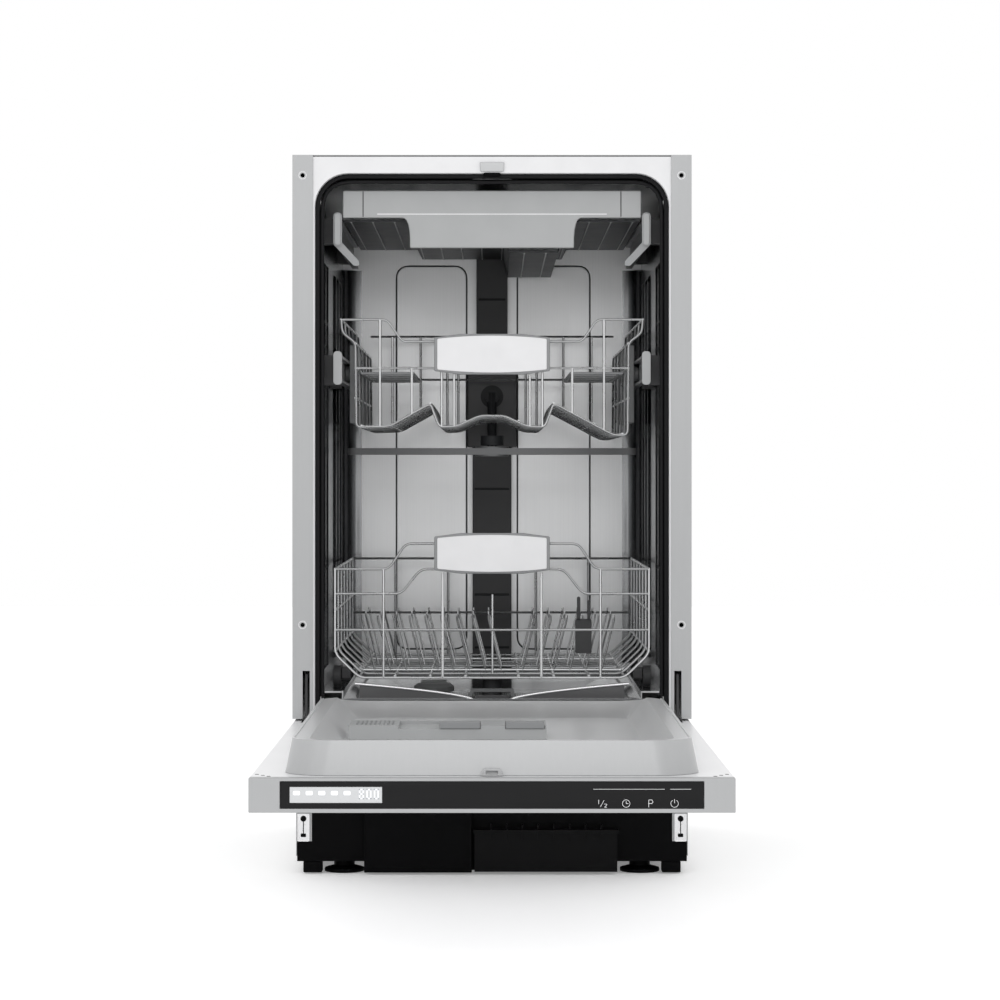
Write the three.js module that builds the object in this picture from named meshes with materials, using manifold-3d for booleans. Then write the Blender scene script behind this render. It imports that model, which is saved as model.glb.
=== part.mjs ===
// Slimline built-in dishwasher with its door open, in millimetres, +Z up.
// X runs across the front, +Y into the tub, and Z = 0 is the floor.
import * as THREE from 'three';
import { ConvexGeometry } from 'three/addons/geometries/ConvexGeometry.js';
import { mergeVertices } from 'three/addons/utils/BufferGeometryUtils.js';
import Module from 'manifold-3d';

const wasm = await Module();
wasm.setup();

// Cabinet
const CABINET_WIDTH = 448;
const CABINET_HEIGHT = 815;
const CABINET_DEPTH = 550;
const SHEET = 0.8;
const GAP = 0.3;
const FLANGE_WIDTH = 23;
const FLANGE_BOTTOM = 182;
const KICK_SETBACK = 65;
const SCREW_HOLE_RADIUS = 2.5;
const BASE_FLOOR = 14;
const BASE_HEIGHT = 126;
const BASE_WALL = 3;
const FOOT_RADIUS = 23;
const STEM_RADIUS = 6;
const STEM_CLEARANCE = 0.5;

// Tub and the parts that stand in it
const SIDE_SPACE = 31;
const TOP_SPACE = 27;
const REAR_SPACE = 26;
const TUB_CORNER = 35;
const TUB_FRONT = 20.8;
const LEDGE_TOP = 211.7;
const LEDGE_WIDTH = 25;
const SILL_TOP = 203;
const DISH_FLOOR = 186;
const DISH_SHEET = 1.5;
const DUCT_HALF_WIDTH = 20;
const DOCK_HALF_WIDTH = 31.5;
const DOCK_BOTTOM = 491;
const DOCK_TOP = 586;
const DOCK_DEPTH = 32;
const PORT_Z = 556;
const SUMP_RADIUS = 82;
const SUMP_Y = 235;
const ARM_Y = 262;
const FILTER_INSET = 39;
const FILTER_RADIUS = 30;
const FILTER_PLATE_SHEET = 2;
const FILTER_PLATE_SIDE = 4;
const FILTER_PLATE_END = 7;

// Front arch
const OPENING_STEP = 6;
const OPENING_RISE = 6.6;
const OPENING_CORNER = 37.5;
const ARCH_FRONT = 1.3;
const ARCH_DEPTH = 10.7;
const SEAL_DEPTH = 8;
const SEAL_LIP = 5;

// Door, measured from its hinge line
const HINGE_Y = -7;
const HINGE_Z = 177;
const DOOR_SIDE_GAP = 2.4;
const DOOR_TAIL = 57;
const DOOR_OUTER = -28;
const DOOR_INNER = 3;
const PANEL_SHEET = 1.2;
const FASCIA_DEPTH = 13.5;
const GLASS_DEPTH = 2.4;
const GLASS_MARGIN = 29;
const LINER_SIDE_GAP = 6.4;
const LINER_HEIGHT = 31.7;
const LINER_DRAFT = 6;
const LINER_CORNER = 40;
const LINER_SHEET = 1.5;
const LINER_FLOOR = 10;
const LINER_TAIL = 7;
const LINER_SETBACK = 27;
const DISPENSER_Y = -332;
const DISPENSER_DEPTH = 68;
const DISPENSER_INSET = 47.6;
const DISPENSER_RIGHT = 55;
const DISPENSER_HEIGHT = 14;
const LID_THICKNESS = 3;

// Racks
const RACK_FRONT = 36;
const RACK_REAR_SPACE = 20;
const WIRE = 3;
const LOWER_FLOOR_Z = 226;
const LOWER_SIDE_SPACE = 15;
const LOWER_RIM = 124;
const ROLLER_RADIUS = 12;
const ROLLER_WIDTH = 9;
const UPPER_FLOOR_Z = 510;
const UPPER_SIDE_SPACE = 16;
const UPPER_RIM = 123;
const HANDLE_HALF_WIDTH = 65.5;
const HANDLE_HEIGHT = 46;
const RAIL_Z = 577;
const RAIL_HEIGHT = 30;
const RAIL_THICKNESS = 7.7;
const RAIL_OVERHANG = 4;
const TRAY_DROP = 44;
const TRAY_SIDE_SPACE = 3;
const TRAY_SHEET = 2;

// Spray arms
const LOWER_ARM_Z = 211.5;
const LOWER_ARM_SPACE = 30;
const MIDDLE_ARM_Z = 480;
const MIDDLE_ARM_SPACE = 19;
const ARM_THICKNESS = 8;

// Places of single parts
const SALT_X = -72;
const SALT_BEHIND_SUMP = 49;
const PUMP_BEHIND_SUMP = 58;
const SALT_NECK = 19.5;
const INLET_INSET = 42;
const INLET_Z = 62;
const DISPLAY = { x0: -184, x1: -100, z0: -19, z1: -4.5 };
const CUP = { x0: -50, x1: -16 };
const LIDS = {
  detergent: { x0: -53, x1: -12, travel: 41 },
  rinse: { x0: 14, x1: 53, travel: 0 },
};
const BACK_PANELS = [[-123, -33.5], [33.5, 126]];
const TINE_ROWS = [95, 200, 305];
const TINE_PLACES = [54, 90, 126];
const TINE_LEAN = 14;
const TINE_TOP = 62;
const BANK_WIRE = 1.1;
const FOOT_INSET = 54;
const FRONT_FOOT_Y = 92;
const REAR_FOOT_INSET = 98;
const KICK_INSET = 78;
const KICK_SPLIT = -23;
const ARM_INSET = 13;
const ARM_SHEET = 3;
const ARM_SLOT_INSIDE = 4.1;
const ARM_SLOT_OUTSIDE = 3.9;
const ARM_SLOT_TOP = 236;
const ROLLER_INSET = 64;

// Values that follow from the ones above
const HALF_WIDTH = CABINET_WIDTH / 2;
const TUB_HALF_WIDTH = HALF_WIDTH - SIDE_SPACE;
const TUB_TOP = CABINET_HEIGHT - TOP_SPACE;
const TUB_REAR = CABINET_DEPTH - REAR_SPACE;
const OPENING_HALF_WIDTH = TUB_HALF_WIDTH + OPENING_STEP;
const OPENING_Z = TUB_TOP + OPENING_RISE;
const DOOR_LENGTH = CABINET_HEIGHT - HINGE_Z;
const DOOR_HALF_WIDTH = HALF_WIDTH - DOOR_SIDE_GAP;
const LINER_HALF_WIDTH = OPENING_HALF_WIDTH - LINER_SIDE_GAP;
const LINER_FRONT = -(DOOR_LENGTH - LINER_SETBACK);
const DISPENSER_LEFT = -LINER_HALF_WIDTH + DISPENSER_INSET;
const GLASS_HALF_WIDTH = DOOR_HALF_WIDTH - GLASS_MARGIN;
const FLANGE_INNER = HALF_WIDTH - FLANGE_WIDTH;
const TRACK_INNER = TUB_HALF_WIDTH - 14;
const RAIL_INNER = TRACK_INNER - GAP - RAIL_THICKNESS;
const TRAY_Z = TUB_TOP - TRAY_DROP;
const RACK_DEPTH = TUB_REAR - DOCK_DEPTH - RACK_REAR_SPACE - RACK_FRONT;
const RAIL_LENGTH = RACK_DEPTH + RAIL_OVERHANG;
const TRAY_DEPTH = RACK_DEPTH + RAIL_OVERHANG;
const LOWER_HALF_WIDTH = TUB_HALF_WIDTH - LOWER_SIDE_SPACE;
const UPPER_HALF_WIDTH = RAIL_INNER - UPPER_SIDE_SPACE;
const TRAY_HALF_WIDTH = RAIL_INNER - TRAY_SIDE_SPACE;
const LOWER_ARM_REACH = TUB_HALF_WIDTH - LOWER_ARM_SPACE;
const MIDDLE_ARM_REACH = TUB_HALF_WIDTH - MIDDLE_ARM_SPACE;
const ARM_X = DOOR_HALF_WIDTH - ARM_INSET;
const FILTER_Y = SUMP_Y - SUMP_RADIUS + FILTER_INSET;
const SALT_Y = SUMP_Y + SUMP_RADIUS + SALT_BEHIND_SUMP;
const PUMP_Y = SUMP_Y + SUMP_RADIUS + PUMP_BEHIND_SUMP;
const INLET_X = -HALF_WIDTH + INLET_INSET;
const FEET = [
  ['front_left_foot', -HALF_WIDTH + FOOT_INSET, FRONT_FOOT_Y],
  ['front_right_foot', HALF_WIDTH - FOOT_INSET, FRONT_FOOT_Y],
  ['rear_foot', 0, CABINET_DEPTH - REAR_FOOT_INSET],
];
const ROLLER_PLACES = [
  ['front_left', -1, ROLLER_INSET],
  ['front_right', 1, ROLLER_INSET],
  ['rear_left', -1, RACK_DEPTH - ROLLER_INSET],
  ['rear_right', 1, RACK_DEPTH - ROLLER_INSET],
];

// --- Solids -------------------------------------------------------------

function solid(geometry) {
  const bare = new THREE.BufferGeometry();
  bare.setAttribute('position', geometry.getAttribute('position'));
  bare.setIndex(geometry.getIndex());
  const merged = mergeVertices(bare, 1e-4);
  return new wasm.Manifold(new wasm.Mesh({
    numProp: 3,
    vertProperties: new Float32Array(merged.getAttribute('position').array),
    triVerts: new Uint32Array(merged.getIndex().array),
  }));
}

function block(x0, x1, y0, y1, z0, z1) {
  const box = new THREE.BoxGeometry(x1 - x0, y1 - y0, z1 - z0);
  box.translate((x0 + x1) / 2, (y0 + y1) / 2, (z0 + z1) / 2);
  return solid(box);
}

const AXIS_FRAMES = {
  x: [new THREE.Vector3(0, 1, 0), new THREE.Vector3(0, 0, 1), new THREE.Vector3(1, 0, 0)],
  y: [new THREE.Vector3(1, 0, 0), new THREE.Vector3(0, 0, 1), new THREE.Vector3(0, -1, 0)],
  z: [new THREE.Vector3(1, 0, 0), new THREE.Vector3(0, 1, 0), new THREE.Vector3(0, 0, 1)],
};

// Extrudes an outline drawn in the plane across an axis, between two places on that axis.
function extrude(axis, shape, from, to) {
  const geometry = new THREE.ExtrudeGeometry(shape, {
    depth: to - from,
    bevelEnabled: false,
    curveSegments: 5,
  });
  geometry.applyMatrix4(new THREE.Matrix4().makeBasis(...AXIS_FRAMES[axis]));
  const start = axis === 'y' ? to : from;
  const move = { x: [start, 0, 0], y: [0, start, 0], z: [0, 0, start] }[axis];
  geometry.translate(...move);
  return solid(geometry);
}

function outline(points) {
  return new THREE.Shape(points.map(([u, v]) => new THREE.Vector2(u, v)));
}

function prism(axis, points, from, to) {
  return extrude(axis, outline(points), from, to);
}

function roundedShape(u0, u1, v0, v1, radius) {
  const shape = new THREE.Shape();
  shape.absarc(u1 - radius, v0 + radius, radius, -Math.PI / 2, 0);
  shape.absarc(u1 - radius, v1 - radius, radius, 0, Math.PI / 2);
  shape.absarc(u0 + radius, v1 - radius, radius, Math.PI / 2, Math.PI);
  shape.absarc(u0 + radius, v0 + radius, radius, Math.PI, Math.PI * 1.5);
  return shape;
}

// An upright arch outline: square feet at the bottom and round shoulders at the top.
function archShape(halfWidth, bottom, top, radius) {
  const shape = new THREE.Shape();
  shape.moveTo(-halfWidth, bottom);
  shape.lineTo(halfWidth, bottom);
  shape.absarc(halfWidth - radius, top - radius, radius, 0, Math.PI / 2);
  shape.absarc(-halfWidth + radius, top - radius, radius, Math.PI / 2, Math.PI);
  return shape;
}

// A straight round bar between two points.
function rod(from, to, radius, sides = 10) {
  const a = new THREE.Vector3(...from);
  const b = new THREE.Vector3(...to);
  const along = b.clone().sub(a);
  const geometry = new THREE.CylinderGeometry(radius, radius, along.length(), sides);
  const turn = new THREE.Quaternion();
  turn.setFromUnitVectors(new THREE.Vector3(0, 1, 0), along.clone().normalize());
  geometry.applyQuaternion(turn);
  const middle = a.add(b).multiplyScalar(0.5);
  geometry.translate(middle.x, middle.y, middle.z);
  return solid(geometry);
}

// A round part about a vertical axis, from a profile of radius and height.
function turned(profile, sides = 24) {
  const points = profile.map(([r, z]) => new THREE.Vector2(r, z));
  points.push(points[0].clone());
  const geometry = new THREE.LatheGeometry(points, sides);
  geometry.rotateX(Math.PI / 2);
  return solid(geometry);
}

function hull(points) {
  return solid(new ConvexGeometry(points.map((p) => new THREE.Vector3(...p))));
}

function join(parts) {
  return parts.reduce((whole, part) => whole.add(part));
}

function cut(whole, tools) {
  return tools.reduce((rest, tool) => rest.subtract(tool), whole);
}

// A flat strip that follows a polyline, as an outline for extrude.
function stripShape(points, width) {
  const sideA = [];
  const sideB = [];
  points.forEach((point, i) => {
    const here = new THREE.Vector2(...point);
    const before = i > 0 ? here.clone().sub(new THREE.Vector2(...points[i - 1])).normalize() : null;
    const after = i < points.length - 1
      ? new THREE.Vector2(...points[i + 1]).sub(here).normalize() : null;
    const normal = new THREE.Vector2();
    [before, after].filter(Boolean).forEach((d) => normal.add(new THREE.Vector2(-d.y, d.x)));
    normal.normalize();
    const lead = after ?? before;
    const reach = width / 2 / Math.max(0.4, normal.dot(new THREE.Vector2(-lead.y, lead.x)));
    sideA.push(here.clone().addScaledVector(normal, reach));
    sideB.unshift(here.clone().addScaledVector(normal, -reach));
  });
  return new THREE.Shape([...sideA, ...sideB]);
}

function strip(axis, points, width, from, to) {
  return extrude(axis, stripShape(points, width), from, to);
}

function mirrorX(points) {
  return points.map(([x, ...rest]) => [-x, ...rest]).reverse();
}

// --- Scene graph ----------------------------------------------------------

const FINISHES = {
  paintedSteel: [0xb9bbbd, 0.45, 0.7],
  whitePlastic: [0xe6e6e8, 0.45, 0],
  stainless: [0xc4c6c8, 0.25, 1],
  blackPlastic: [0x0e0e0f, 0.55, 0],
  darkPlastic: [0x3c3d3f, 0.5, 0],
  greyPlastic: [0xa8aaac, 0.5, 0],
  armPlastic: [0x6a6b6d, 0.5, 0],
  seal: [0x202021, 0.7, 0],
  glass: [0x242426, 0.1, 0],
  wire: [0xb8babc, 0.3, 0.9],
  board: [0x2f5d3a, 0.6, 0],
};

function surface(finish) {
  const [color, roughness, metalness] = FINISHES[finish];
  return new THREE.MeshStandardMaterial({ color, roughness, metalness });
}

function piece(parent, name, made, finish, place = [0, 0, 0]) {
  const data = made.getMesh();
  const geometry = new THREE.BufferGeometry();
  geometry.setAttribute('position', new THREE.BufferAttribute(data.vertProperties, 3));
  geometry.setIndex(new THREE.BufferAttribute(data.triVerts, 1));
  geometry.computeVertexNormals();
  const mesh = new THREE.Mesh(geometry, surface(finish));
  mesh.name = name;
  mesh.position.set(...place);
  parent.add(mesh);
  return mesh;
}

function group(parent, ...place) {
  const made = new THREE.Group();
  made.position.set(...place);
  parent.add(made);
  return made;
}

const SIDES = [['left', -1], ['right', 1]];

// Runs x limits given outward from the middle, for the left or the right side.
function sideBlock(side, inner, outer, y0, y1, z0, z1) {
  const [x0, x1] = side < 0 ? [-outer, -inner] : [inner, outer];
  return block(x0, x1, y0, y1, z0, z1);
}

// --- Cabinet ---------------------------------------------------------------

function sidePanel(side) {
  const profile = [
    [KICK_SETBACK, 20], [CABINET_DEPTH, 20], [CABINET_DEPTH, CABINET_HEIGHT],
    [0, CABINET_HEIGHT], [0, FLANGE_BOTTOM], [KICK_SETBACK, FLANGE_BOTTOM],
  ];
  const outer = side * HALF_WIDTH;
  const inner = side * (HALF_WIDTH - SHEET);
  const sheet = prism('x', profile, Math.min(outer, inner), Math.max(outer, inner));
  const edge = HALF_WIDTH - SHEET / 2;
  const flange = sideBlock(side, FLANGE_INNER, edge, 0, SHEET, FLANGE_BOTTOM, CABINET_HEIGHT);
  const tab = sideBlock(side, HALF_WIDTH - 18, edge, KICK_SETBACK, KICK_SETBACK + SHEET, 37, 69);
  const holeX = side * (HALF_WIDTH - FLANGE_WIDTH / 2);
  const holes = [CABINET_HEIGHT - 23, 287.5].map(
    (z) => rod([holeX, -5, z], [holeX, 5, z], SCREW_HOLE_RADIUS, 12));
  const slot = sideBlock(
    side, ARM_X - ARM_SLOT_INSIDE, ARM_X + ARM_SLOT_OUTSIDE, -1, 2, FLANGE_BOTTOM - 1, ARM_SLOT_TOP);
  return cut(join([sheet, flange, tab]), [...holes, slot]);
}

function frontArch() {
  const shape = archShape(HALF_WIDTH - 20, FLANGE_BOTTOM + 4, CABINET_HEIGHT - 1.8, 4);
  const hole = archShape(OPENING_HALF_WIDTH, 0, OPENING_Z, OPENING_CORNER);
  const ring = extrude('y', shape, ARCH_FRONT, ARCH_FRONT + ARCH_DEPTH);
  const opening = extrude('y', hole, 0, 40);
  const latchSlot = block(-11, 11, 0, 40, OPENING_Z + 5.4, OPENING_Z + 10.4);
  return cut(ring, [opening, latchSlot]);
}

function doorSeal() {
  const front = ARCH_FRONT + ARCH_DEPTH + GAP;
  const outer = archShape(HALF_WIDTH - 21, FLANGE_BOTTOM + 4, OPENING_Z + 4.4, OPENING_CORNER + 4);
  const inner = archShape(
    OPENING_HALF_WIDTH - SEAL_LIP, 0, OPENING_Z - SEAL_LIP + 0.2, OPENING_CORNER - SEAL_LIP);
  const back = front + SEAL_DEPTH;
  return extrude('y', outer, front, back).subtract(extrude('y', inner, 0, 40));
}

function doorLatch() {
  const z = OPENING_Z;
  const outline = [[-13, z + 1.4], [13, z + 1.4], [13.7, z + 12], [-13.7, z + 12]];
  const plate = prism('y', outline, -1.2, ARCH_FRONT - GAP);
  const neck = block(-10, 10, 0, TUB_FRONT + 3, z + 5.9, z + 9.9);
  const housing = block(-22, 22, TUB_FRONT + 1, TUB_FRONT + 50, TUB_TOP + SHEET + 0.5, CABINET_HEIGHT - 2.4);
  return join([plate, neck, housing]);
}

function tubWrap() {
  const outer = archShape(TUB_HALF_WIDTH + SHEET, LEDGE_TOP - 6, TUB_TOP + SHEET, TUB_CORNER + SHEET);
  const inner = archShape(TUB_HALF_WIDTH, 0, TUB_TOP, TUB_CORNER);
  return extrude('y', outer, TUB_FRONT, TUB_REAR).subtract(extrude('y', inner, 0, TUB_REAR + 9));
}

function tubBack() {
  const sheet = extrude('y', archShape(TUB_HALF_WIDTH + SHEET, DISH_FLOOR, TUB_TOP + SHEET, TUB_CORNER),
    TUB_REAR + GAP, TUB_REAR + GAP + 1.5);
  const raised = BACK_PANELS.map(([x0, x1]) => extrude(
    'y', roundedShape(x0, x1, 231, TUB_TOP - 63, 14), TUB_REAR - 2.7, TUB_REAR + 1));
  return join([sheet, ...raised]);
}

// A shallow four-sided funnel between the sill, the ledges and the flat floor.
function dishHull(inset, lift) {
  const x = TUB_HALF_WIDTH - LEDGE_WIDTH + 1.5 - inset;
  const front = TUB_FRONT + 2.7 + inset;
  const rear = TUB_REAR - 28 - inset;
  const top = [[-x, front, SILL_TOP], [x, front, SILL_TOP], [-x, rear, LEDGE_TOP], [x, rear, LEDGE_TOP]];
  const floor = DISH_FLOOR - DISH_SHEET + lift;
  const flat = [[-108, 112, floor], [108, 112, floor], [-108, 408, floor], [108, 408, floor]];
  const above = lift > 0 ? top.map(([px, py]) => [px, py, LEDGE_TOP + 20]) : [];
  return hull([...top, ...flat, ...above]);
}

function tubFloor() {
  const half = TUB_HALF_WIDTH - GAP;
  const inner = TUB_HALF_WIDTH - LEDGE_WIDTH;
  const front = TUB_FRONT + 2.7;
  const ledges = SIDES.flatMap(([, side]) => [
    sideBlock(side, inner, half, front, TUB_REAR, LEDGE_TOP - 2, LEDGE_TOP),
    sideBlock(side, inner, inner + 1.5, front, TUB_REAR - 28, SILL_TOP - 5, LEDGE_TOP),
  ]);
  const rear = block(-half, half, TUB_REAR - 29, TUB_REAR, LEDGE_TOP - 2, LEDGE_TOP);
  const sill = block(-half, half, front, front + 2, FLANGE_BOTTOM + 3, SILL_TOP);
  const dish = dishHull(0, 0).subtract(dishHull(DISH_SHEET, DISH_SHEET));
  const sumpHole = rod([0, SUMP_Y, 150], [0, SUMP_Y, 205], SUMP_RADIUS - 4, 32);
  const saltHole = rod([SALT_X, SALT_Y, 150], [SALT_X, SALT_Y, 205], SALT_NECK + 0.5, 16);
  return cut(join([...ledges, rear, sill, dish]), [sumpHole, saltHole]);
}

function baseTray() {
  const half = HALF_WIDTH - SHEET - GAP;
  const front = KICK_SETBACK + SHEET + GAP;
  const rear = CABINET_DEPTH - SHEET;
  const top = BASE_FLOOR + BASE_HEIGHT;
  const shell = block(-half, half, front, rear, BASE_FLOOR, top);
  const inner = half - BASE_WALL;
  const hollow = block(-inner, inner, front + BASE_WALL, rear - BASE_WALL, BASE_FLOOR + BASE_WALL, top + 9);
  const stems = FEET.map(([, x, y]) => rod([x, y, 0], [x, y, 60], STEM_RADIUS + STEM_CLEARANCE, 16));
  const inlet = rod([INLET_X, rear - 20, INLET_Z], [INLET_X, rear + 5, INLET_Z], 10.5, 16);
  return cut(shell, [hollow, ...stems, inlet]);
}

function foot() {
  const shoulder = BASE_FLOOR - GAP;
  return turned([
    [0, 0], [FOOT_RADIUS, 0], [FOOT_RADIUS, 4], [12, 7], [12, shoulder],
    [STEM_RADIUS, shoulder], [STEM_RADIUS, 44], [0, 44],
  ], 18);
}

function leftKick() {
  const rear = KICK_SETBACK + SHEET;
  return block(-HALF_WIDTH + KICK_INSET, KICK_SPLIT, rear - 9, rear, 2, 118);
}

function rightKick() {
  const rear = KICK_SETBACK + SHEET;
  const start = KICK_SPLIT + 3;
  const end = HALF_WIDTH - KICK_INSET - 3;
  const plate = block(start, end, rear - 9, rear, 3, 49);
  const lip = block(start - 1.5, end + 1.5, rear - 11, rear, 47, 51);
  const ribs = [-2, 16, 34, 52, 70, 88, 106, 124].map((x) => block(x, x + 1.6, rear - 10, rear - 2, 40, 57));
  return join([plate, lip, ...ribs]);
}

function sump() {
  const top = DISH_FLOOR - DISH_SHEET - GAP;
  const pot = turned([[0, 96], [SUMP_RADIUS, 104], [SUMP_RADIUS, top], [SUMP_RADIUS - 3, top],
    [SUMP_RADIUS - 3, 107], [0, 99]], 28);
  const post = rod([0, ARM_Y - SUMP_Y, 98], [0, ARM_Y - SUMP_Y, LOWER_ARM_Z - 2.2], 12, 14);
  const drainBowl = rod([0, 0, BASE_FLOOR + BASE_WALL + GAP], [0, 0, 99], 34, 16);
  return join([pot, post, drainBowl]);
}

function filterPlate() {
  const z = DISH_FLOOR + GAP;
  const half = SUMP_RADIUS + FILTER_PLATE_SIDE;
  const reach = SUMP_RADIUS + FILTER_PLATE_END;
  const outline = roundedShape(-half, half, SUMP_Y - reach, SUMP_Y + reach, 20);
  const sheet = extrude('z', outline, z, z + FILTER_PLATE_SHEET);
  const cup = rod([0, FILTER_Y, 150], [0, FILTER_Y, 200], FILTER_RADIUS + 0.5, 24);
  const post = rod([0, ARM_Y, 150], [0, ARM_Y, 200], 12.5, 14);
  return cut(sheet, [cup, post]);
}

function filterCup() {
  const z = DISH_FLOOR + FILTER_PLATE_SHEET + GAP * 2;
  const r = FILTER_RADIUS;
  const cup = turned([[0, 124], [r - 6, 124], [r - 2, z], [r + 4, z], [r + 4, z + 3],
    [r - 4, z + 3], [r - 8, 127], [0, 127]], 20);
  const handle = prism('y', [[-r, z + 1], [-r + 5, z + 1], [-r + 8, z + 10], [r - 8, z + 10],
    [r - 5, z + 1], [r, z + 1], [r - 5, z + 14], [-r + 5, z + 14]], -3, 3);
  return cup.add(handle);
}

function waterSoftener() {
  const tank = extrude('z', roundedShape(-58, 52, -42, 52, 10), 118, DISH_FLOOR - 4);
  const neck = rod([0, 0, 160], [0, 0, DISH_FLOOR + 1], SALT_NECK, 16);
  const well = rod([0, 0, 140], [0, 0, DISH_FLOOR + 5], SALT_NECK - 4, 16);
  return tank.add(neck).subtract(well);
}

function saltCap() {
  const z = DISH_FLOOR + 1 + GAP;
  const body = turned([[0, z], [25, z], [25, z + 6], [20, z + 10], [0, z + 10]], 16);
  return body.add(block(-16, 16, -2, 2, z + 9, z + 14));
}

function circulationPump() {
  const z = 72;
  const motor = rod([-60, 0, z], [40, 0, z], 36, 18);
  const volute = rod([38, 0, z], [78, 0, z], 45, 18);
  const bracket = block(-46, 30, -26, 26, BASE_FLOOR + BASE_WALL + GAP, z - 18);
  return join([motor, volute, bracket]);
}

function drainPump() {
  const motor = rod([-34, 0, 58], [26, 0, 58], 23, 14);
  const outlet = rod([14, 0, 60], [14, 0, 106], 9, 10);
  const bracket = block(-26, 18, -16, 16, BASE_FLOOR + BASE_WALL + GAP, 48);
  return join([motor, outlet, bracket]);
}

function inletValve() {
  const rear = CABINET_DEPTH - SHEET - BASE_WALL - GAP;
  const body = block(-17, 17, rear - 46, rear, -20, 20);
  const coil = block(-12, 12, rear - 42, rear - 14, 19, 48);
  const stub = rod([0, rear - 2, 0], [0, CABINET_DEPTH - 0.4, 0], 10, 14);
  return join([body, coil, stub]);
}

function rearDuct() {
  const rear = TUB_REAR;
  const lower = block(-25, 25, rear - 21, rear, LEDGE_TOP + GAP, DOCK_BOTTOM + 1);
  const dock = block(-DOCK_HALF_WIDTH, DOCK_HALF_WIDTH, rear - DOCK_DEPTH, rear, DOCK_BOTTOM, DOCK_TOP);
  const upper = block(-DUCT_HALF_WIDTH, DUCT_HALF_WIDTH, rear - 18, rear, DOCK_TOP - 1, TUB_TOP - GAP);
  const port = rod([0, rear - DOCK_DEPTH - 5, PORT_Z], [0, rear - 12, PORT_Z], 11, 16);
  return join([lower, dock, upper]).subtract(port);
}

function rackTrack(side) {
  const wall = TUB_HALF_WIDTH - GAP;
  const plate = sideBlock(side, wall - 2, wall, 42, 232, RAIL_Z - 12, RAIL_Z + 12);
  const blocks = [[50, 78], [182, 210]].map(
    ([y0, y1]) => sideBlock(side, TRACK_INNER, wall - 1, y0, y1, RAIL_Z - 19, RAIL_Z + 15));
  return join([plate, ...blocks]);
}

function railSection(side, z, length) {
  const outer = RAIL_INNER + RAIL_THICKNESS;
  const half = RAIL_HEIGHT / 2;
  const bar = sideBlock(side, RAIL_INNER, outer, RACK_FRONT + 1, RACK_FRONT + length, z - half, z + half);
  const channel = sideBlock(side, RAIL_INNER - 2, outer - 2, 0, CABINET_DEPTH, z - half + 3, z + half - 3);
  const cap = extrude('y', roundedShape(
    ...(side < 0 ? [-outer - 1, -RAIL_INNER + 1] : [RAIL_INNER - 1, outer + 1]), z - 19, z + 19, 4),
  RACK_FRONT - 5, RACK_FRONT + 4);
  return bar.subtract(channel).add(cap);
}

function trayRail(side) {
  const z = TRAY_Z - 10;
  const outer = RAIL_INNER + RAIL_THICKNESS;
  const wall = TUB_HALF_WIDTH - GAP;
  const blocks = [[58, 86], [382, 410]].map(
    ([y0, y1]) => sideBlock(side, outer - 1, wall, y0, y1, z - 14, z + 14));
  const y0 = RACK_FRONT - 2;
  const strut = hull([outer, outer - 6].flatMap((x) => [y0, y0 + 7].flatMap((y) => [
    [side * x, y, z - 12], [side * x, y, z - 18], [side * (x - 22), y, z - 36], [side * (x - 22), y, z - 41],
  ])));
  return join([railSection(side, z, RAIL_LENGTH), ...blocks, strut]);
}

function buildCabinet(cabinet) {
  for (const [name, side] of SIDES) {
    piece(cabinet, `${name}_side_panel`, sidePanel(side), 'paintedSteel');
    piece(cabinet, `${name}_rack_track`, rackTrack(side), 'darkPlastic');
    piece(cabinet, `${name}_tray_rail`, trayRail(side), 'greyPlastic');
  }
  const half = HALF_WIDTH - SHEET - GAP;
  const rear = CABINET_DEPTH - SHEET;
  piece(cabinet, 'top_cover', block(
    -half, half, ARCH_FRONT, rear - GAP, CABINET_HEIGHT - SHEET, CABINET_HEIGHT), 'paintedSteel');
  piece(cabinet, 'rear_panel', block(
    -half, half, rear, CABINET_DEPTH, BASE_FLOOR + BASE_HEIGHT + 5, CABINET_HEIGHT), 'paintedSteel');
  piece(cabinet, 'front_frame', frontArch(), 'whitePlastic');
  piece(cabinet, 'door_seal', doorSeal(), 'seal');
  piece(cabinet, 'door_latch', doorLatch(), 'greyPlastic');
  piece(cabinet, 'tub_wrap', tubWrap(), 'stainless');
  piece(cabinet, 'tub_back', tubBack(), 'stainless');
  piece(cabinet, 'tub_floor', tubFloor(), 'stainless');
  piece(cabinet, 'rear_duct', rearDuct(), 'darkPlastic');
  buildBase(cabinet);
}

function buildBase(cabinet) {
  piece(cabinet, 'base_tray', baseTray(), 'blackPlastic');
  piece(cabinet, 'left_kick_plate', leftKick(), 'blackPlastic');
  piece(cabinet, 'right_kick_plate', rightKick(), 'blackPlastic');
  for (const [name, x, y] of FEET) {
    piece(cabinet, name, foot(), 'blackPlastic', [x, y, 0]);
  }
  piece(cabinet, 'sump', sump(), 'darkPlastic', [0, SUMP_Y, 0]);
  piece(cabinet, 'fine_filter_plate', filterPlate(), 'stainless');
  piece(cabinet, 'filter_cup', filterCup(), 'greyPlastic', [0, FILTER_Y, 0]);
  piece(cabinet, 'water_softener', waterSoftener(), 'greyPlastic', [SALT_X, SALT_Y, 0]);
  piece(cabinet, 'salt_cap', saltCap(), 'greyPlastic', [SALT_X, SALT_Y, 0]);
  piece(cabinet, 'circulation_pump', circulationPump(), 'darkPlastic', [92, PUMP_Y, 0]);
  piece(cabinet, 'drain_pump', drainPump(), 'darkPlastic', [-150, 190, 0]);
  piece(cabinet, 'inlet_valve', inletValve(), 'whitePlastic', [INLET_X, 0, INLET_Z]);
}

// --- Door, drawn about its hinge line ------------------------------------------

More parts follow.
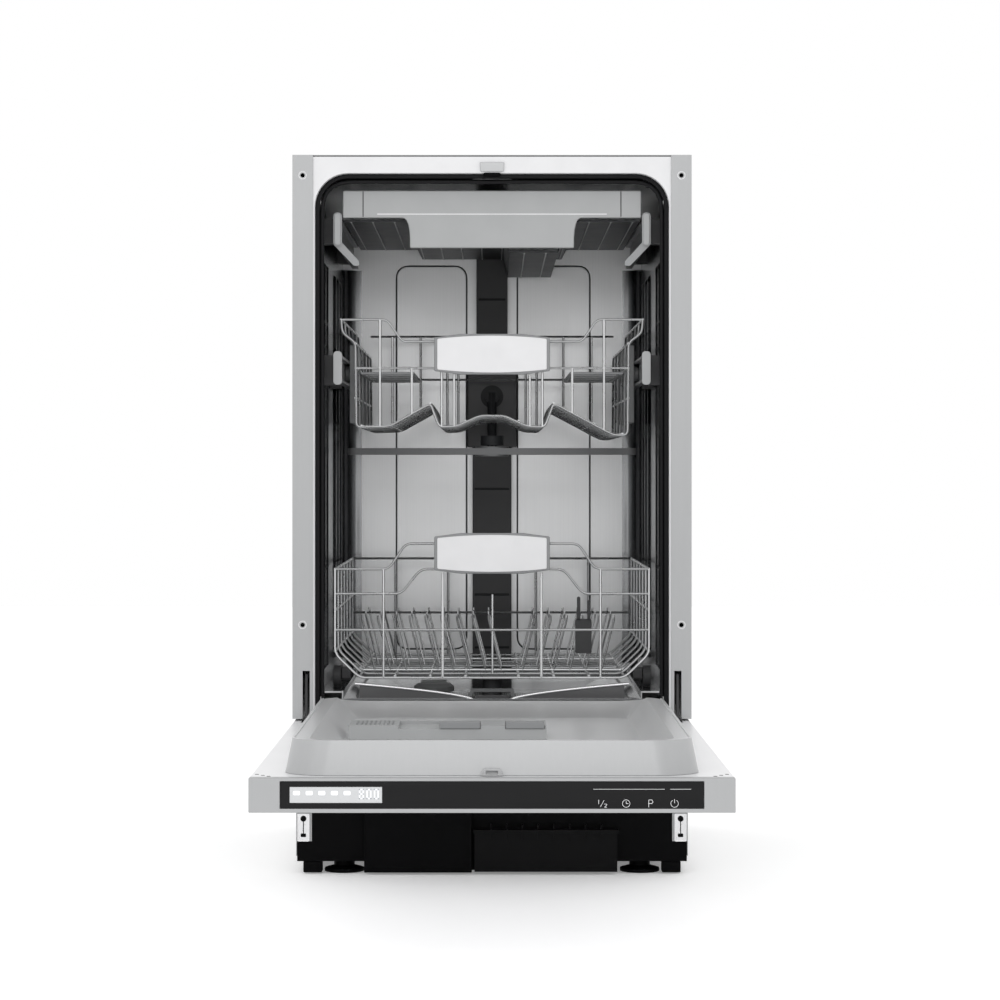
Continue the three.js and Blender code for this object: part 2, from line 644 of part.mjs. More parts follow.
function outerPanel() {
  const front = -DOOR_LENGTH + FASCIA_DEPTH + GAP;
  const w = DOOR_HALF_WIDTH;
  const t = PANEL_SHEET;
  const body = block(-w, w, front, DOOR_TAIL, DOOR_OUTER, DOOR_INNER);
  const hollow = block(-w + t, w - t, front + t, DOOR_TAIL - t, DOOR_OUTER + t, DOOR_INNER - t);
  const mouth = extrude('z', roundedShape(
    -LINER_HALF_WIDTH + 4, LINER_HALF_WIDTH - 4, LINER_FRONT + 4, -LINER_TAIL - 4, 36),
  DOOR_INNER - 2 * t, DOOR_INNER + 2);
  const armSlots = SIDES.map(([, side]) => sideBlock(
    side, DOOR_HALF_WIDTH - 17.5, DOOR_HALF_WIDTH - 8.5, -16, 28, DOOR_INNER - 2 * t, DOOR_INNER + 2));
  return cut(body, [hollow, mouth, ...armSlots]);
}

function corners(halfWidth, front, rear, radius, z) {
  const shape = roundedShape(-halfWidth, halfWidth, front, rear, radius);
  return shape.getPoints(4).map((p) => [p.x, p.y, z]);
}

// The drawn rim block of the liner, shrunk by an inset; its tail end slopes down to the hinge.
function linerBlock(inset) {
  const base = DOOR_INNER + GAP;
  const top = base + LINER_HEIGHT - inset;
  const w = LINER_HALF_WIDTH - inset;
  const front = LINER_FRONT + inset;
  const rear = -LINER_TAIL - inset;
  const r = LINER_CORNER - inset;
  const draft = LINER_DRAFT;
  return hull([
    ...corners(w, front, rear, r, base - (inset > 0 ? 1 : 0)),
    ...corners(w - draft, front + draft, rear, r, top - 12),
    ...corners(w - draft, front + draft, rear - 46, r, top),
  ]);
}

// The hollow of the liner: a ledge for the rack rollers above sloping walls and a flat floor.
function linerBowl(grow) {
  const top = DOOR_INNER + GAP + LINER_HEIGHT;
  const ledge = top - 1.3 - grow;
  const w = LINER_HALF_WIDTH - LINER_DRAFT - 2.5 + grow;
  const front = LINER_FRONT + LINER_DRAFT + 8 - grow;
  const rear = -LINER_TAIL - 8 + grow;
  const upper = hull([
    ...corners(w, front, rear, LINER_CORNER - 8, ledge),
    ...corners(w, front, rear, LINER_CORNER - 8, top + 5),
  ]);
  const floor = LINER_FLOOR + LINER_SHEET - grow;
  const lower = hull([
    ...corners(w - 14, front + 8, rear, LINER_CORNER - 12, ledge + 0.01),
    ...corners(w - 34, front + 34, rear - 40, LINER_CORNER - 16, floor),
  ]);
  return upper.add(lower);
}

function liner() {
  const skin = linerBlock(0).subtract(linerBlock(LINER_SHEET));
  const bowl = linerBlock(0).intersect(linerBowl(LINER_SHEET));
  return skin.add(bowl).subtract(linerBowl(0));
}

function fascia() {
  const w = DOOR_HALF_WIDTH;
  const front = -DOOR_LENGTH;
  const top = DOOR_INNER + 0.6;
  const bar = block(-w, w, front, front + FASCIA_DEPTH, DOOR_OUTER, top);
  const pocket = block(-GLASS_HALF_WIDTH - GAP, GLASS_HALF_WIDTH + GAP, front - 1, front + GLASS_DEPTH + GAP,
    DOOR_OUTER + 4 - GAP, DOOR_INNER - 2.7 + GAP);
  const rear = block(-w + 3, w - 3, front + 5, front + FASCIA_DEPTH + 1, DOOR_OUTER + 2, top - 2);
  const { x0, x1, z0, z1 } = DISPLAY;
  const window = block(x0 - 1, x1 + 1, front - 1, front + 8, z0 - 0.7, z1 + 0.7);
  return cut(bar, [pocket, rear, window]);
}

function glassStrip() {
  const front = -DOOR_LENGTH;
  const strip = block(-GLASS_HALF_WIDTH, GLASS_HALF_WIDTH, front, front + GLASS_DEPTH,
    DOOR_OUTER + 4, DOOR_INNER - 2.7);
  return strip.subtract(block(
    DISPLAY.x0 - 0.4, DISPLAY.x1 + 0.4, front - 1, front + 8, DISPLAY.z0 - 0.4, DISPLAY.z1 + 0.4));
}

function displayBoard() {
  const front = -DOOR_LENGTH;
  const display = block(DISPLAY.x0, DISPLAY.x1, front + 0.4, front + 8, DISPLAY.z0, DISPLAY.z1);
  const board = block(-GLASS_HALF_WIDTH + 6, GLASS_HALF_WIDTH - 6, front + 6, front + 7.6, -24, 1);
  return display.add(board);
}

function doorStrike() {
  const z = DOOR_INNER + GAP;
  const y = LINER_FRONT - GAP;
  const body = prism('y', [[-11, z], [11, z], [7.5, z + 6.8], [-7.5, z + 6.8]], y - 4.7, y);
  const eye = block(-5.5, 5.5, y - 9, y + 9, z + 1.5, z + 4.5);
  return body.subtract(eye);
}

function hingeArm(side) {
  const profile = [[-70, -24], [-30, -24], [-3, -13], [14, -4], [25, 8], [25, 55], [12, 55], [9, 10],
    [-8, -2], [-30, -10], [-70, -14]];
  return prism('x', profile, side * ARM_X - ARM_SHEET / 2, side * ARM_X + ARM_SHEET / 2);
}

function dispenserHousing() {
  const z = LINER_FLOOR + LINER_SHEET + GAP;
  const top = z + DISPENSER_HEIGHT;
  const rear = DISPENSER_Y + DISPENSER_DEPTH;
  const low = top - LID_THICKNESS - GAP;
  const body = block(DISPENSER_LEFT, DISPENSER_RIGHT, DISPENSER_Y, rear, z, top);
  const seats = Object.values(LIDS).map(({ x0, x1, travel }) => block(
    x0 - travel - 0.5, x1 + 0.5, DISPENSER_Y - 1, rear - 10, low, top + 5));
  const cup = block(CUP.x0, CUP.x1, DISPENSER_Y + 5, rear - 16, z + 2, top);
  const well = rod([33, DISPENSER_Y + 30, z + 4], [33, DISPENSER_Y + 30, top], 10, 12);
  return cut(body, [...seats, cup, well]);
}

function lid({ x0, x1 }) {
  const length = DISPENSER_DEPTH - 11;
  const grip = block(0, x1 - x0, -2, 2, -LID_THICKNESS, 4);
  const plate = block(0, x1 - x0, 0, length, -LID_THICKNESS, 0);
  return plate.add(grip);
}

function buildDoor(root) {
  const door = group(root, 0, HINGE_Y, HINGE_Z);
  piece(door, 'door_outer_panel', outerPanel(), 'paintedSteel');
  piece(door, 'door_liner', liner(), 'stainless');
  piece(door, 'control_fascia', fascia(), 'greyPlastic');
  piece(door, 'control_glass', glassStrip(), 'glass');
  piece(door, 'display_board', displayBoard(), 'board');
  piece(door, 'door_strike', doorStrike(), 'stainless');
  for (const [name, side] of SIDES) {
    piece(door, `${name}_hinge_arm`, hingeArm(side), 'stainless');
  }
  piece(door, 'dispenser_housing', dispenserHousing(), 'greyPlastic');
  const top = LINER_FLOOR + LINER_SHEET + GAP + DISPENSER_HEIGHT;
  const { detergent, rinse } = LIDS;
  piece(door, 'detergent_lid', lid(detergent), 'greyPlastic', [detergent.x0, DISPENSER_Y, top]);
  piece(door, 'rinse_aid_lid', lid(rinse), 'greyPlastic', [rinse.x0, DISPENSER_Y, top]);
}

// --- Racks, each drawn from the middle of its front at floor-wire height ----------------

// Long wires run front to back and are a little thinner than the hoops that they cross.
function bars(positions) {
  const h = WIRE / 2 - 0.2;
  return positions.map(([x, z]) => block(x - h, x + h, 0.1, RACK_DEPTH - 0.1, z - h, z + h));
}

function ribs(profile, places) {
  return places.map((y) => strip('y', profile, WIRE, y, y + WIRE));
}

// Wires that lie in the front or the rear hoop, set just inside its faces.
function crossWire(profile, y) {
  return strip('y', profile, WIRE - 0.8, y + 0.3, y + WIRE - 0.3);
}

function upright(x, y, low, top) {
  const h = WIRE / 2 - 0.1;
  return block(x - h, x + h, y + 0.45, y + WIRE - 0.45, low, top);
}

function spread(count, first, last) {
  return Array.from({ length: count }, (_, i) => first + (last - first) * i / (count - 1));
}

// The bank lies on the basket's floor wires, a gap above its hoops.
function plateTines() {
  const low = WIRE / 2 + GAP;
  const top = low + BANK_WIRE;
  const half = LOWER_HALF_WIDTH - 30;
  const feet = TINE_ROWS.map((y) => block(-half, half, y, y + WIRE, low, top));
  const last = TINE_ROWS[TINE_ROWS.length - 1] + WIRE;
  const links = [-TINE_PLACES[0], TINE_PLACES[0]].map(
    (x) => block(x - WIRE / 2, x + WIRE / 2, TINE_ROWS[0], last, low, top));
  const tines = TINE_ROWS.flatMap((y) => TINE_PLACES.flatMap((x) => [tine(x, y, low), tine(-x, y, low)]));
  return join([...feet, ...links, ...tines]);
}

function tine(x, y, low) {
  const h = 1.4;
  const lean = -Math.sign(x) * TINE_LEAN;
  const profile = [[x - h, low], [x + h, low], [x + h - lean, TINE_TOP], [x - h - lean, TINE_TOP]];
  return prism('y', profile, y + 0.5, y + WIRE - 0.5);
}

function lowerBasket() {
  const w = LOWER_HALF_WIDTH;
  const ends = [0, RACK_DEPTH - WIRE];
  const half = [[w, LOWER_RIM], [w, 27], [w - 28, 0]];
  const hoops = ribs([...half, ...mirrorX(half)], spread(5, ...ends));
  const sides = bars([-w, w].flatMap((x) => [[x, LOWER_RIM - 1], [x, 76], [x, 30]]));
  const floor = bars(spread(6, -w + 28, w - 28).map((x) => [x, 0]));
  const step = [[98, 153], [117, LOWER_RIM - 1], [w, LOWER_RIM - 1]];
  const rear = [[-w, LOWER_RIM - 1], [w, LOWER_RIM - 1]];
  const rims = [crossWire([...mirrorX(step), ...step], 0), crossWire(rear, ends[1])];
  const middle = ends.map((y) => crossWire([[-w, 54], [w, 54]], y));
  const uprights = [-123, -56, 56, 123].flatMap((x) => [
    upright(x, 0, -2, Math.abs(x) > 100 ? LOWER_RIM - 1.5 : 152.5),
    upright(x, ends[1], -2, LOWER_RIM - 1.5)]);
  const axles = ROLLER_PLACES.map(([, side, y]) => sideBlock(
    side, w - 29, rollerInner() - GAP, y - 2.5, y + 2.5, -4.5, 0.6));
  return join([...hoops, ...sides, ...floor, ...rims, ...middle, ...uprights, ...axles]);
}

function rollerInner() {
  return TUB_HALF_WIDTH - 10 - ROLLER_WIDTH;
}

function roller(side) {
  const inner = side * rollerInner();
  const outer = side * (rollerInner() + ROLLER_WIDTH);
  return rod([inner, 0, 0], [outer, 0, 0], ROLLER_RADIUS, 16);
}

function handle() {
  const w = HANDLE_HALF_WIDTH;
  const h = HANDLE_HEIGHT / 2;
  const plate = prism('y', [[-w, -h + 4], [-w + 30, -h], [w - 30, -h], [w, -h + 4], [w, h - 4],
    [w - 30, h], [-w + 30, h], [-w, h - 4]], -7, -GAP);
  const grip = block(-w + 10, w - 10, -5, 1, h - 12, h - 8);
  return plate.subtract(grip);
}

function buildLowerRack(root) {
  const rack = group(root, 0, RACK_FRONT, LOWER_FLOOR_Z);
  piece(rack, 'lower_basket_frame', lowerBasket(), 'wire');
  piece(rack, 'plate_tines', plateTines(), 'wire');
  piece(rack, 'lower_basket_handle', handle(), 'whitePlastic', [0, 0, 141]);
  const axle = LEDGE_TOP + GAP + ROLLER_RADIUS - LOWER_FLOOR_Z;
  for (const [name, side, y] of ROLLER_PLACES) {
    piece(rack, `${name}_roller`, roller(side), 'greyPlastic', [0, y, axle]);
  }
}

function upperBasket() {
  const w = UPPER_HALF_WIDTH;
  const ends = [0, RACK_DEPTH - WIRE];
  const half = [[w, UPPER_RIM], [w, 0], [w - 37, 0], [72, 26], [61, 0], [36, 0]];
  const hoops = ribs([...half, [0, 15], ...mirrorX(half)], spread(5, ...ends));
  const lengthwise = [[w, UPPER_RIM - 1], [w, 67], [w - 2, 0], [w - 37, 0], [72, 25]];
  const stringers = bars([...lengthwise, [0, 14], ...mirrorX(lengthwise)]);
  const step = [[102, 97], [119, UPPER_RIM - 1], [w, UPPER_RIM - 1]];
  const rear = [[-w, UPPER_RIM - 1], [w, UPPER_RIM - 1]];
  const rims = [crossWire([...mirrorX(step), ...step], 0), crossWire(rear, ends[1])];
  const middle = ends.map((y) => crossWire([[-w, 67], [w, 67]], y));
  const uprights = [[-100, 9], [-50, 0], [50, 0], [100, 9]].flatMap(([x, low]) => [
    upright(x, 0, low, 96.5), upright(x, ends[1], low, UPPER_RIM - 1.5)]);
  return join([...hoops, ...stringers, ...rims, ...middle, ...uprights]);
}

function cupShelf(side) {
  const w = UPPER_HALF_WIDTH - 3.5;
  const frame = sideBlock(side, w - 62, w, 60, RACK_DEPTH - 60, 61.5, 64.5);
  const windows = spread(4, 66, RACK_DEPTH - 140).map(
    (y) => sideBlock(side, w - 57, w - 5, y, y + 68, 50, 80));
  return cut(frame, windows);
}

function heightAdjuster(side) {
  const inner = UPPER_HALF_WIDTH + 3.3;
  const outer = RAIL_INNER - 0.6;
  const z = RAIL_Z - UPPER_FLOOR_Z;
  const plate = sideBlock(side, inner, outer, 195, 366, 8, z + 34);
  const rollers = [212, 350].map((y) => rod(
    [side * (outer - 1), y, z], [side * (RAIL_INNER + 5), y, z], 10, 14));
  return join([plate, ...rollers]);
}

function feedPipe() {
  const y = ARM_Y - RACK_FRONT;
  const low = MIDDLE_ARM_Z + 17 - UPPER_FLOOR_Z;
  const high = PORT_Z - UPPER_FLOOR_Z;
  const mouth = TUB_REAR - DOCK_DEPTH - GAP - RACK_FRONT;
  const rise = mouth - 11.5;
  const hub = rod([0, y, low - 5.5], [0, y, low + 6], 14, 16);
  const run = rod([0, y, low], [0, rise, low], 6, 10);
  const climb = rod([0, rise, low - 5], [0, rise, high + 5], 6, 10);
  const nozzle = rod([0, rise - 4, high], [0, mouth, high], 9, 14);
  return join([hub, run, climb, nozzle]);
}

function buildUpperRack(root) {
  const rack = group(root, 0, RACK_FRONT, UPPER_FLOOR_Z);
  piece(rack, 'upper_basket_frame', upperBasket(), 'wire');
  piece(rack, 'upper_basket_handle', handle(), 'whitePlastic', [0, 0, 82.5]);
  piece(rack, 'upper_feed_pipe', feedPipe(), 'darkPlastic');
  for (const [name, side] of SIDES) {
    piece(rack, `${name}_cup_shelf`, cupShelf(side), 'greyPlastic');
    piece(rack, `${name}_height_adjuster`, heightAdjuster(side), 'greyPlastic');
    piece(root, `${name}_upper_rail`, railSection(side, RAIL_Z, RAIL_LENGTH), 'greyPlastic');
  }
}

// The tray's cross-section: raised wings, a lower middle, and a deep trough right of centre.
function trayProfile() {
  const w = TRAY_HALF_WIDTH;
  return [[-w, 21], [-w, 0], [-95, 0], [-89, -12], [14, -12], [20, -35], [75, -35], [81, -12],
    [89, -12], [95, 0], [w, 0], [w, 21]];
}

function cutleryTray() {
  const w = TRAY_HALF_WIDTH;
  const sheet = strip('y', trayProfile(), TRAY_SHEET, 4.5, TRAY_DEPTH);
  const slots = spread(5, 20, TRAY_DEPTH - 90).flatMap((y) => [
    block(-158, -104, y, y + 70, -5, 5), block(-80, 4, y, y + 70, -20, -5),
    block(27, 68, y, y + 70, -40, -30), block(104, 158, y, y + 70, -5, 5)]);
  const outer = RAIL_INNER + RAIL_THICKNESS - 3;
  const runners = SIDES.flatMap(([, side]) => [
    sideBlock(side, w - 1, w + 1, 390, 430, -15, 2),
    sideBlock(side, w - 1, outer, 390, 430, -15, -5)]);
  return join([cut(sheet, slots), ...runners]);
}

function trayFront() {
  const top = CABINET_HEIGHT - 37 - TRAY_Z;
  const w = TRAY_HALF_WIDTH + 1;
  const low = top - 65;
  const shape = new THREE.Shape();
  shape.moveTo(-w, top);
  shape.lineTo(-w, top - 31);
  shape.lineTo(-100, top - 31);
  shape.quadraticCurveTo(-92, top - 34, -93, low);
  shape.lineTo(93, low);
  shape.quadraticCurveTo(92, top - 34, 100, top - 31);
  shape.lineTo(w, top - 31);
  shape.lineTo(w, top);
  return extrude('y', shape, -4, 4);
}

function buildTray(root) {
  const tray = group(root, 0, RACK_FRONT, TRAY_Z);
  piece(tray, 'cutlery_tray', cutleryTray(), 'darkPlastic');
  piece(tray, 'cutlery_tray_front', trayFront(), 'greyPlastic');
}

// --- Spray arms -----------------------------------------------------------------------

function sprayArm(reach, rootWidth, tipWidth, hubRadius, hubTop) {
  const shape = new THREE.Shape();
  shape.moveTo(-reach + tipWidth / 2, -tipWidth / 2);
  shape.lineTo(0, -rootWidth / 2);
  shape.absarc(reach - tipWidth / 2, 0, tipWidth / 2, -Math.PI / 2, Math.PI / 2);
  shape.lineTo(0, rootWidth / 2);
  shape.absarc(-reach + tipWidth / 2, 0, tipWidth / 2, Math.PI / 2, Math.PI * 1.5);
  const blade = extrude('z', shape, 0, ARM_THICKNESS);
  const hub = rod([0, 0, -2], [0, 0, hubTop], hubRadius, 20);
  return blade.add(hub);
}

function buildArms(root) {
  piece(root, 'lower_spray_arm', sprayArm(LOWER_ARM_REACH, 46, 24, 22, ARM_THICKNESS + 2), 'armPlastic',
    [0, ARM_Y, LOWER_ARM_Z]);
  piece(root, 'middle_spray_arm', sprayArm(MIDDLE_ARM_REACH, 40, 22, 20, ARM_THICKNESS + 2), 'armPlastic',
    [0, ARM_Y, MIDDLE_ARM_Z]);
}

// --- Whole appliance ------------------------------------------------------------------

const dishwasher = new THREE.Group();
const CENTRE_Y = (CABINET_DEPTH + HINGE_Y - DOOR_LENGTH) / 2;
const model = group(dishwasher, 0, -CENTRE_Y, 0);
buildCabinet(model);
buildDoor(model);
buildLowerRack(model);
buildUpperRack(model);
buildTray(model);
buildArms(model);

export default dishwasher;
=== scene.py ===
"""Looks of a slimline built-in dishwasher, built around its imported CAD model.

Lengths are in metres, in the frame of the CAD model: +X to the right seen from the front, +Y from the
open door towards the back, and +Z up from the floor.
"""

import logging
import math
from dataclasses import dataclass
from enum import Enum
from typing import Callable, Sequence

import bmesh
import bpy
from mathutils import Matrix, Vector


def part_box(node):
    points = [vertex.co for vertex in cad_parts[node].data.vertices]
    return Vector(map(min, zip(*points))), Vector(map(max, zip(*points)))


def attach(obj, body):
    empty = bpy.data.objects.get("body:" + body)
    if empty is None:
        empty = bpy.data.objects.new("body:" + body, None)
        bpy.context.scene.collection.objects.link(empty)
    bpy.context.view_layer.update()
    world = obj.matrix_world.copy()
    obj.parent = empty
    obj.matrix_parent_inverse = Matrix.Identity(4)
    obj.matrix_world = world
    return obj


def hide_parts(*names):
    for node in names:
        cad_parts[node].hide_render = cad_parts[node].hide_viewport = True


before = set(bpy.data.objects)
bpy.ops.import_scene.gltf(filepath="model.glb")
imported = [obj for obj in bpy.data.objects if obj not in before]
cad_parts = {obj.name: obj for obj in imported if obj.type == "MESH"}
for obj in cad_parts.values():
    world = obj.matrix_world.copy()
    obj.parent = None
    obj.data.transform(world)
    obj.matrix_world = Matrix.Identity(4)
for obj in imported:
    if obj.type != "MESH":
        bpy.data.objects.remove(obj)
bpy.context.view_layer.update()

LOG = logging.getLogger("dishwasher")
MM = 0.001
Point = tuple[float, float, float]
Test = Callable[[Vector, Vector], bool]


def mm(*values: float) -> tuple[float, ...]:
    """Turns millimetres into metres.

    Args:
        values: Lengths in millimetres.

    Returns:
        The same lengths in metres.
    """
    return tuple(value * MM for value in values)


@dataclass(frozen=True)
class Box:
    """The box that a CAD node fills at rest."""

    lo: Vector
    hi: Vector

    @classmethod
    def of(cls, node: str) -> "Box":
        """Reads the box of one CAD node.

        Args:
            node: The node's name.

        Returns:
            Its box.
        """
        lo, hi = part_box(node)
        return cls(Vector(lo), Vector(hi))

    @property
    def mid(self) -> Vector:
        """The box's centre."""
        return (self.lo + self.hi) / 2

    @property
    def size(self) -> Vector:
        """The box's three lengths."""
        return self.hi - self.lo


# --- Shader building ----------------------------------------------------------------------------------


def feed(tree: bpy.types.NodeTree, slot: bpy.types.NodeSocket, value: object) -> None:
    """Gives a socket a link or a plain value.

    Args:
        tree: The node tree that holds the socket.
        slot: The input socket.
        value: A Signal to link, or the value to set.
    """
    if isinstance(value, Signal):
        tree.links.new(value.socket, slot)
    else:
        slot.default_value = value


@dataclass(frozen=True)
class Signal:
    """A shader output that can be written into arithmetic."""

    tree: bpy.types.NodeTree
    socket: bpy.types.NodeSocket

    def _math(self, operation: str, first: object, second: object) -> "Signal":
        """Adds one Math node.

        Args:
            operation: The node's operation.
            first: The first operand.
            second: The second operand.

        Returns:
            The node's result.
        """
        node = self.tree.nodes.new("ShaderNodeMath")
        node.operation = operation
        feed(self.tree, node.inputs[0], first)
        feed(self.tree, node.inputs[1], second)
        return Signal(self.tree, node.outputs[0])

    def __add__(self, other: object) -> "Signal":
        """Sum."""
        return self._math("ADD", self, other)

    __radd__ = __add__

    def __sub__(self, other: object) -> "Signal":
        """Difference."""
        return self._math("SUBTRACT", self, other)

    def __rsub__(self, other: object) -> "Signal":
        """Difference, reflected."""
        return self._math("SUBTRACT", other, self)

    def __mul__(self, other: object) -> "Signal":
        """Product."""
        return self._math("MULTIPLY", self, other)

    __rmul__ = __mul__

    def __gt__(self, other: object) -> "Signal":
        """1 where this is greater, else 0."""
        return self._math("GREATER_THAN", self, other)


class Paint:
    """One material's node tree while it is being built."""

    def __init__(self, name: str) -> None:
        """Starts a material with one Principled shader.

        Args:
            name: The material's name.
        """
        self.material = bpy.data.materials.new(name)
        self.material.use_nodes = True
        self.tree = self.material.node_tree
        self.shader = self.tree.nodes["Principled BSDF"]

    def add(self, kind: str, settings: dict, inputs: dict, output: object = 0) -> Signal:
        """Adds any node.

        Args:
            kind: The node's type.
            settings: Attributes of the node, set first.
            inputs: Values or signals by input socket.
            output: The output socket's name or place.

        Returns:
            The chosen output.
        """
        node = self.tree.nodes.new(kind)
        for key, value in settings.items():
            setattr(node, key, value)
        for key, value in inputs.items():
            feed(self.tree, node.inputs[key], value)
        return Signal(self.tree, node.outputs[output])

    def coords(self, stretch: Point = (1, 1, 1)) -> Signal:
        """Object coordinates, stretched along the axes.

        Args:
            stretch: The factor on each axis.

        Returns:
            The coordinates.
        """
        place = self.add("ShaderNodeTexCoord", {}, {}, "Object")
        return self.add("ShaderNodeMapping", {}, {"Vector": place, "Scale": stretch})

    def noise(self, scale: float, detail: float = 2.0, stretch: Point = (1, 1, 1)) -> Signal:
        """Noise between 0 and 1.

        Args:
            scale: Features per metre.
            detail: Octaves.
            stretch: The factor on each axis.

        Returns:
            The noise's value.
        """
        return self.add("ShaderNodeTexNoise", {}, {
            "Vector": self.coords(stretch), "Scale": scale, "Detail": detail}, 0)

    def blend(self, factor: object, first: object, second: object) -> Signal:
        """Mixes two colours.

        Args:
            factor: 0 for the first and 1 for the second.
            first: A colour.
            second: A colour.

        Returns:
            The mixed colour.
        """
        node = self.tree.nodes.new("ShaderNodeMix")
        node.data_type = "RGBA"
        feed(self.tree, node.inputs[0], factor)
        feed(self.tree, node.inputs[6], rgba(first))
        feed(self.tree, node.inputs[7], rgba(second))
        return Signal(self.tree, node.outputs[2])

    def bump(self, height: Signal, strength: float, distance: float) -> None:
        """Presses a height into the surface.

        Args:
            height: The height signal.
            strength: How strongly it shows.
            distance: The depth of a full step, in metres.
        """
        normal = self.add("ShaderNodeBump", {}, {
            "Height": height, "Strength": strength, "Distance": distance}, 0)
        feed(self.tree, self.shader.inputs["Normal"], normal)

    def set(self, **values: object) -> "Paint":
        """Sets sockets of the shader.

        Args:
            values: Values or signals by socket name, with _ for a space.

        Returns:
            This paint.
        """
        for key, value in values.items():
            feed(self.tree, self.shader.inputs[key.replace("_", " ")], rgba(value))
        return self


def rgba(value: object) -> object:
    """Adds an alpha of 1 to a plain colour and leaves anything else.

    Args:
        value: A colour, number or signal.

    Returns:
        The value ready for a socket.
    """
    if isinstance(value, tuple) and len(value) == 3:
        return (*value, 1.0)
    return value


def shade(color: Point, factor: float) -> Point:
    """Scales a colour's brightness.

    Args:
        color: The colour.
        factor: The scale.

    Returns:
        The scaled colour.
    """
    return tuple(min(1.0, channel * factor) for channel in color)


@dataclass(frozen=True)
class Moulded:
    """Moulded plastic: fine grain, slight mottling and a sheen that varies."""

    name: str
    color: Point
    roughness: float = 0.45
    grain: float = 0.12
    specular: float = 0.5

    def build(self) -> bpy.types.Material:
        """Makes the material."""
        paint = Paint(self.name)
        mottle = paint.noise(35, 3)
        grain = paint.noise(2600, 2)
        paint.bump(grain, self.grain, 0.0002)
        return paint.set(
            Base_Color=paint.blend(mottle, shade(self.color, 0.94), shade(self.color, 1.06)),
            Roughness=self.roughness - 0.05 + mottle * 0.1,
            Specular_IOR_Level=self.specular,
        ).material


@dataclass(frozen=True)
class CoatedSheet:
    """Coated sheet steel: a faint orange peel and rolled streaks."""

    name: str
    color: Point
    roughness: float = 0.38
    metallic: float = 0.35

    def build(self) -> bpy.types.Material:
        """Makes the material."""
        paint = Paint(self.name)
        cloud = paint.noise(9, 2)
        peel = paint.noise(700, 2)
        streak = paint.noise(60, 2, (6, 6, 0.3))
        paint.bump(peel, 0.06, 0.0004)
        tone = cloud * 0.6 + streak * 0.4
        return paint.set(
            Base_Color=paint.blend(tone, shade(self.color, 0.95), shade(self.color, 1.05)),
            Roughness=self.roughness - 0.04 + peel * 0.08,
            Metallic=self.metallic,
        ).material


class Grain(Enum):
    """The way that a brushed surface is drawn."""

    ALONG_X = (4, 900, 900)
    ALONG_Y = (900, 4, 900)
    ALONG_Z = (900, 900, 4)


@dataclass(frozen=True)
class Brushed:
    """Stainless sheet with drawn lines and soft clouds."""

    name: str
    color: Point
    roughness: float
    grain: Grain
    strength: float = 0.12

    def build(self) -> bpy.types.Material:
        """Makes the material."""
        paint = Paint(self.name)
        lines = paint.noise(1.0, 3, self.grain.value)
        cloud = paint.noise(7, 3)
        paint.bump(lines, self.strength, 0.0002)
        tone = lines * 0.6 + cloud * 0.4
        return paint.set(
            Base_Color=paint.blend(tone, shade(self.color, 0.9), shade(self.color, 1.08)),
            Roughness=self.roughness - 0.06 + tone * 0.14,
            Metallic=1.0,
        ).material


@dataclass(frozen=True)
class CoatedWire:
    """Wire dipped in a satin coating that pools a little."""

    name: str
    color: Point
    roughness: float = 0.28

    def build(self) -> bpy.types.Material:
        """Makes the material."""
        paint = Paint(self.name)
        pool = paint.noise(40, 2)
        paint.bump(pool, 0.02, 0.0003)
        return paint.set(
            Base_Color=paint.blend(pool, shade(self.color, 0.9), shade(self.color, 1.08)),
            Roughness=self.roughness - 0.05 + pool * 0.1,
            Metallic=0.75,
        ).material


@dataclass(frozen=True)
class BlackGlass:
    """Glossy black strip with faint wipe marks."""

    name: str
    color: Point

    def build(self) -> bpy.types.Material:
        """Makes the material."""
        paint = Paint(self.name)
        wipe = paint.noise(14, 4, (1, 6, 3))
        return paint.set(
            Base_Color=paint.blend(wipe, self.color, shade(self.color, 1.3)),
            Roughness=0.16 + wipe * 0.12,
            Specular_IOR_Level=0.1,
        ).material


@dataclass(frozen=True)
class Perforated:
    """Fine filter sheet: bright steel with a regular field of tiny holes."""

    name: str
    color: Point
    pitch: float = 0.0022

    def build(self) -> bpy.types.Material:
        """Makes the material."""
        paint = Paint(self.name)
        cells = paint.add("ShaderNodeTexVoronoi", {"voronoi_dimensions": "2D"}, {
            "Vector": paint.coords(), "Scale": 1 / self.pitch, "Randomness": 0.0}, "Distance")
        solid = cells > 0.27
        paint.bump(solid, 0.6, 0.0004)
        return paint.set(
            Base_Color=paint.blend(solid, (0.03, 0.03, 0.03), self.color),
            Roughness=0.4 - solid * 0.12,
            Metallic=solid,
        ).material


@dataclass(frozen=True)
class Printed:
    """Light marks printed on glass, and the pale face of a display, both with a painted glow."""

    name: str
    color: Point
    painted_glow: float

    def build(self) -> bpy.types.Material:
        """Makes the material."""
        paint = Paint(self.name)
        ink = paint.noise(400, 2)
        tone = paint.blend(ink, shade(self.color, 0.95), self.color)
        # The emission is painted glow: the print and the display face are no lamps.
        return paint.set(
            Base_Color=tone, Roughness=0.35 + ink * 0.1, Emission_Color=tone,
            Emission_Strength=self.painted_glow,
        ).material


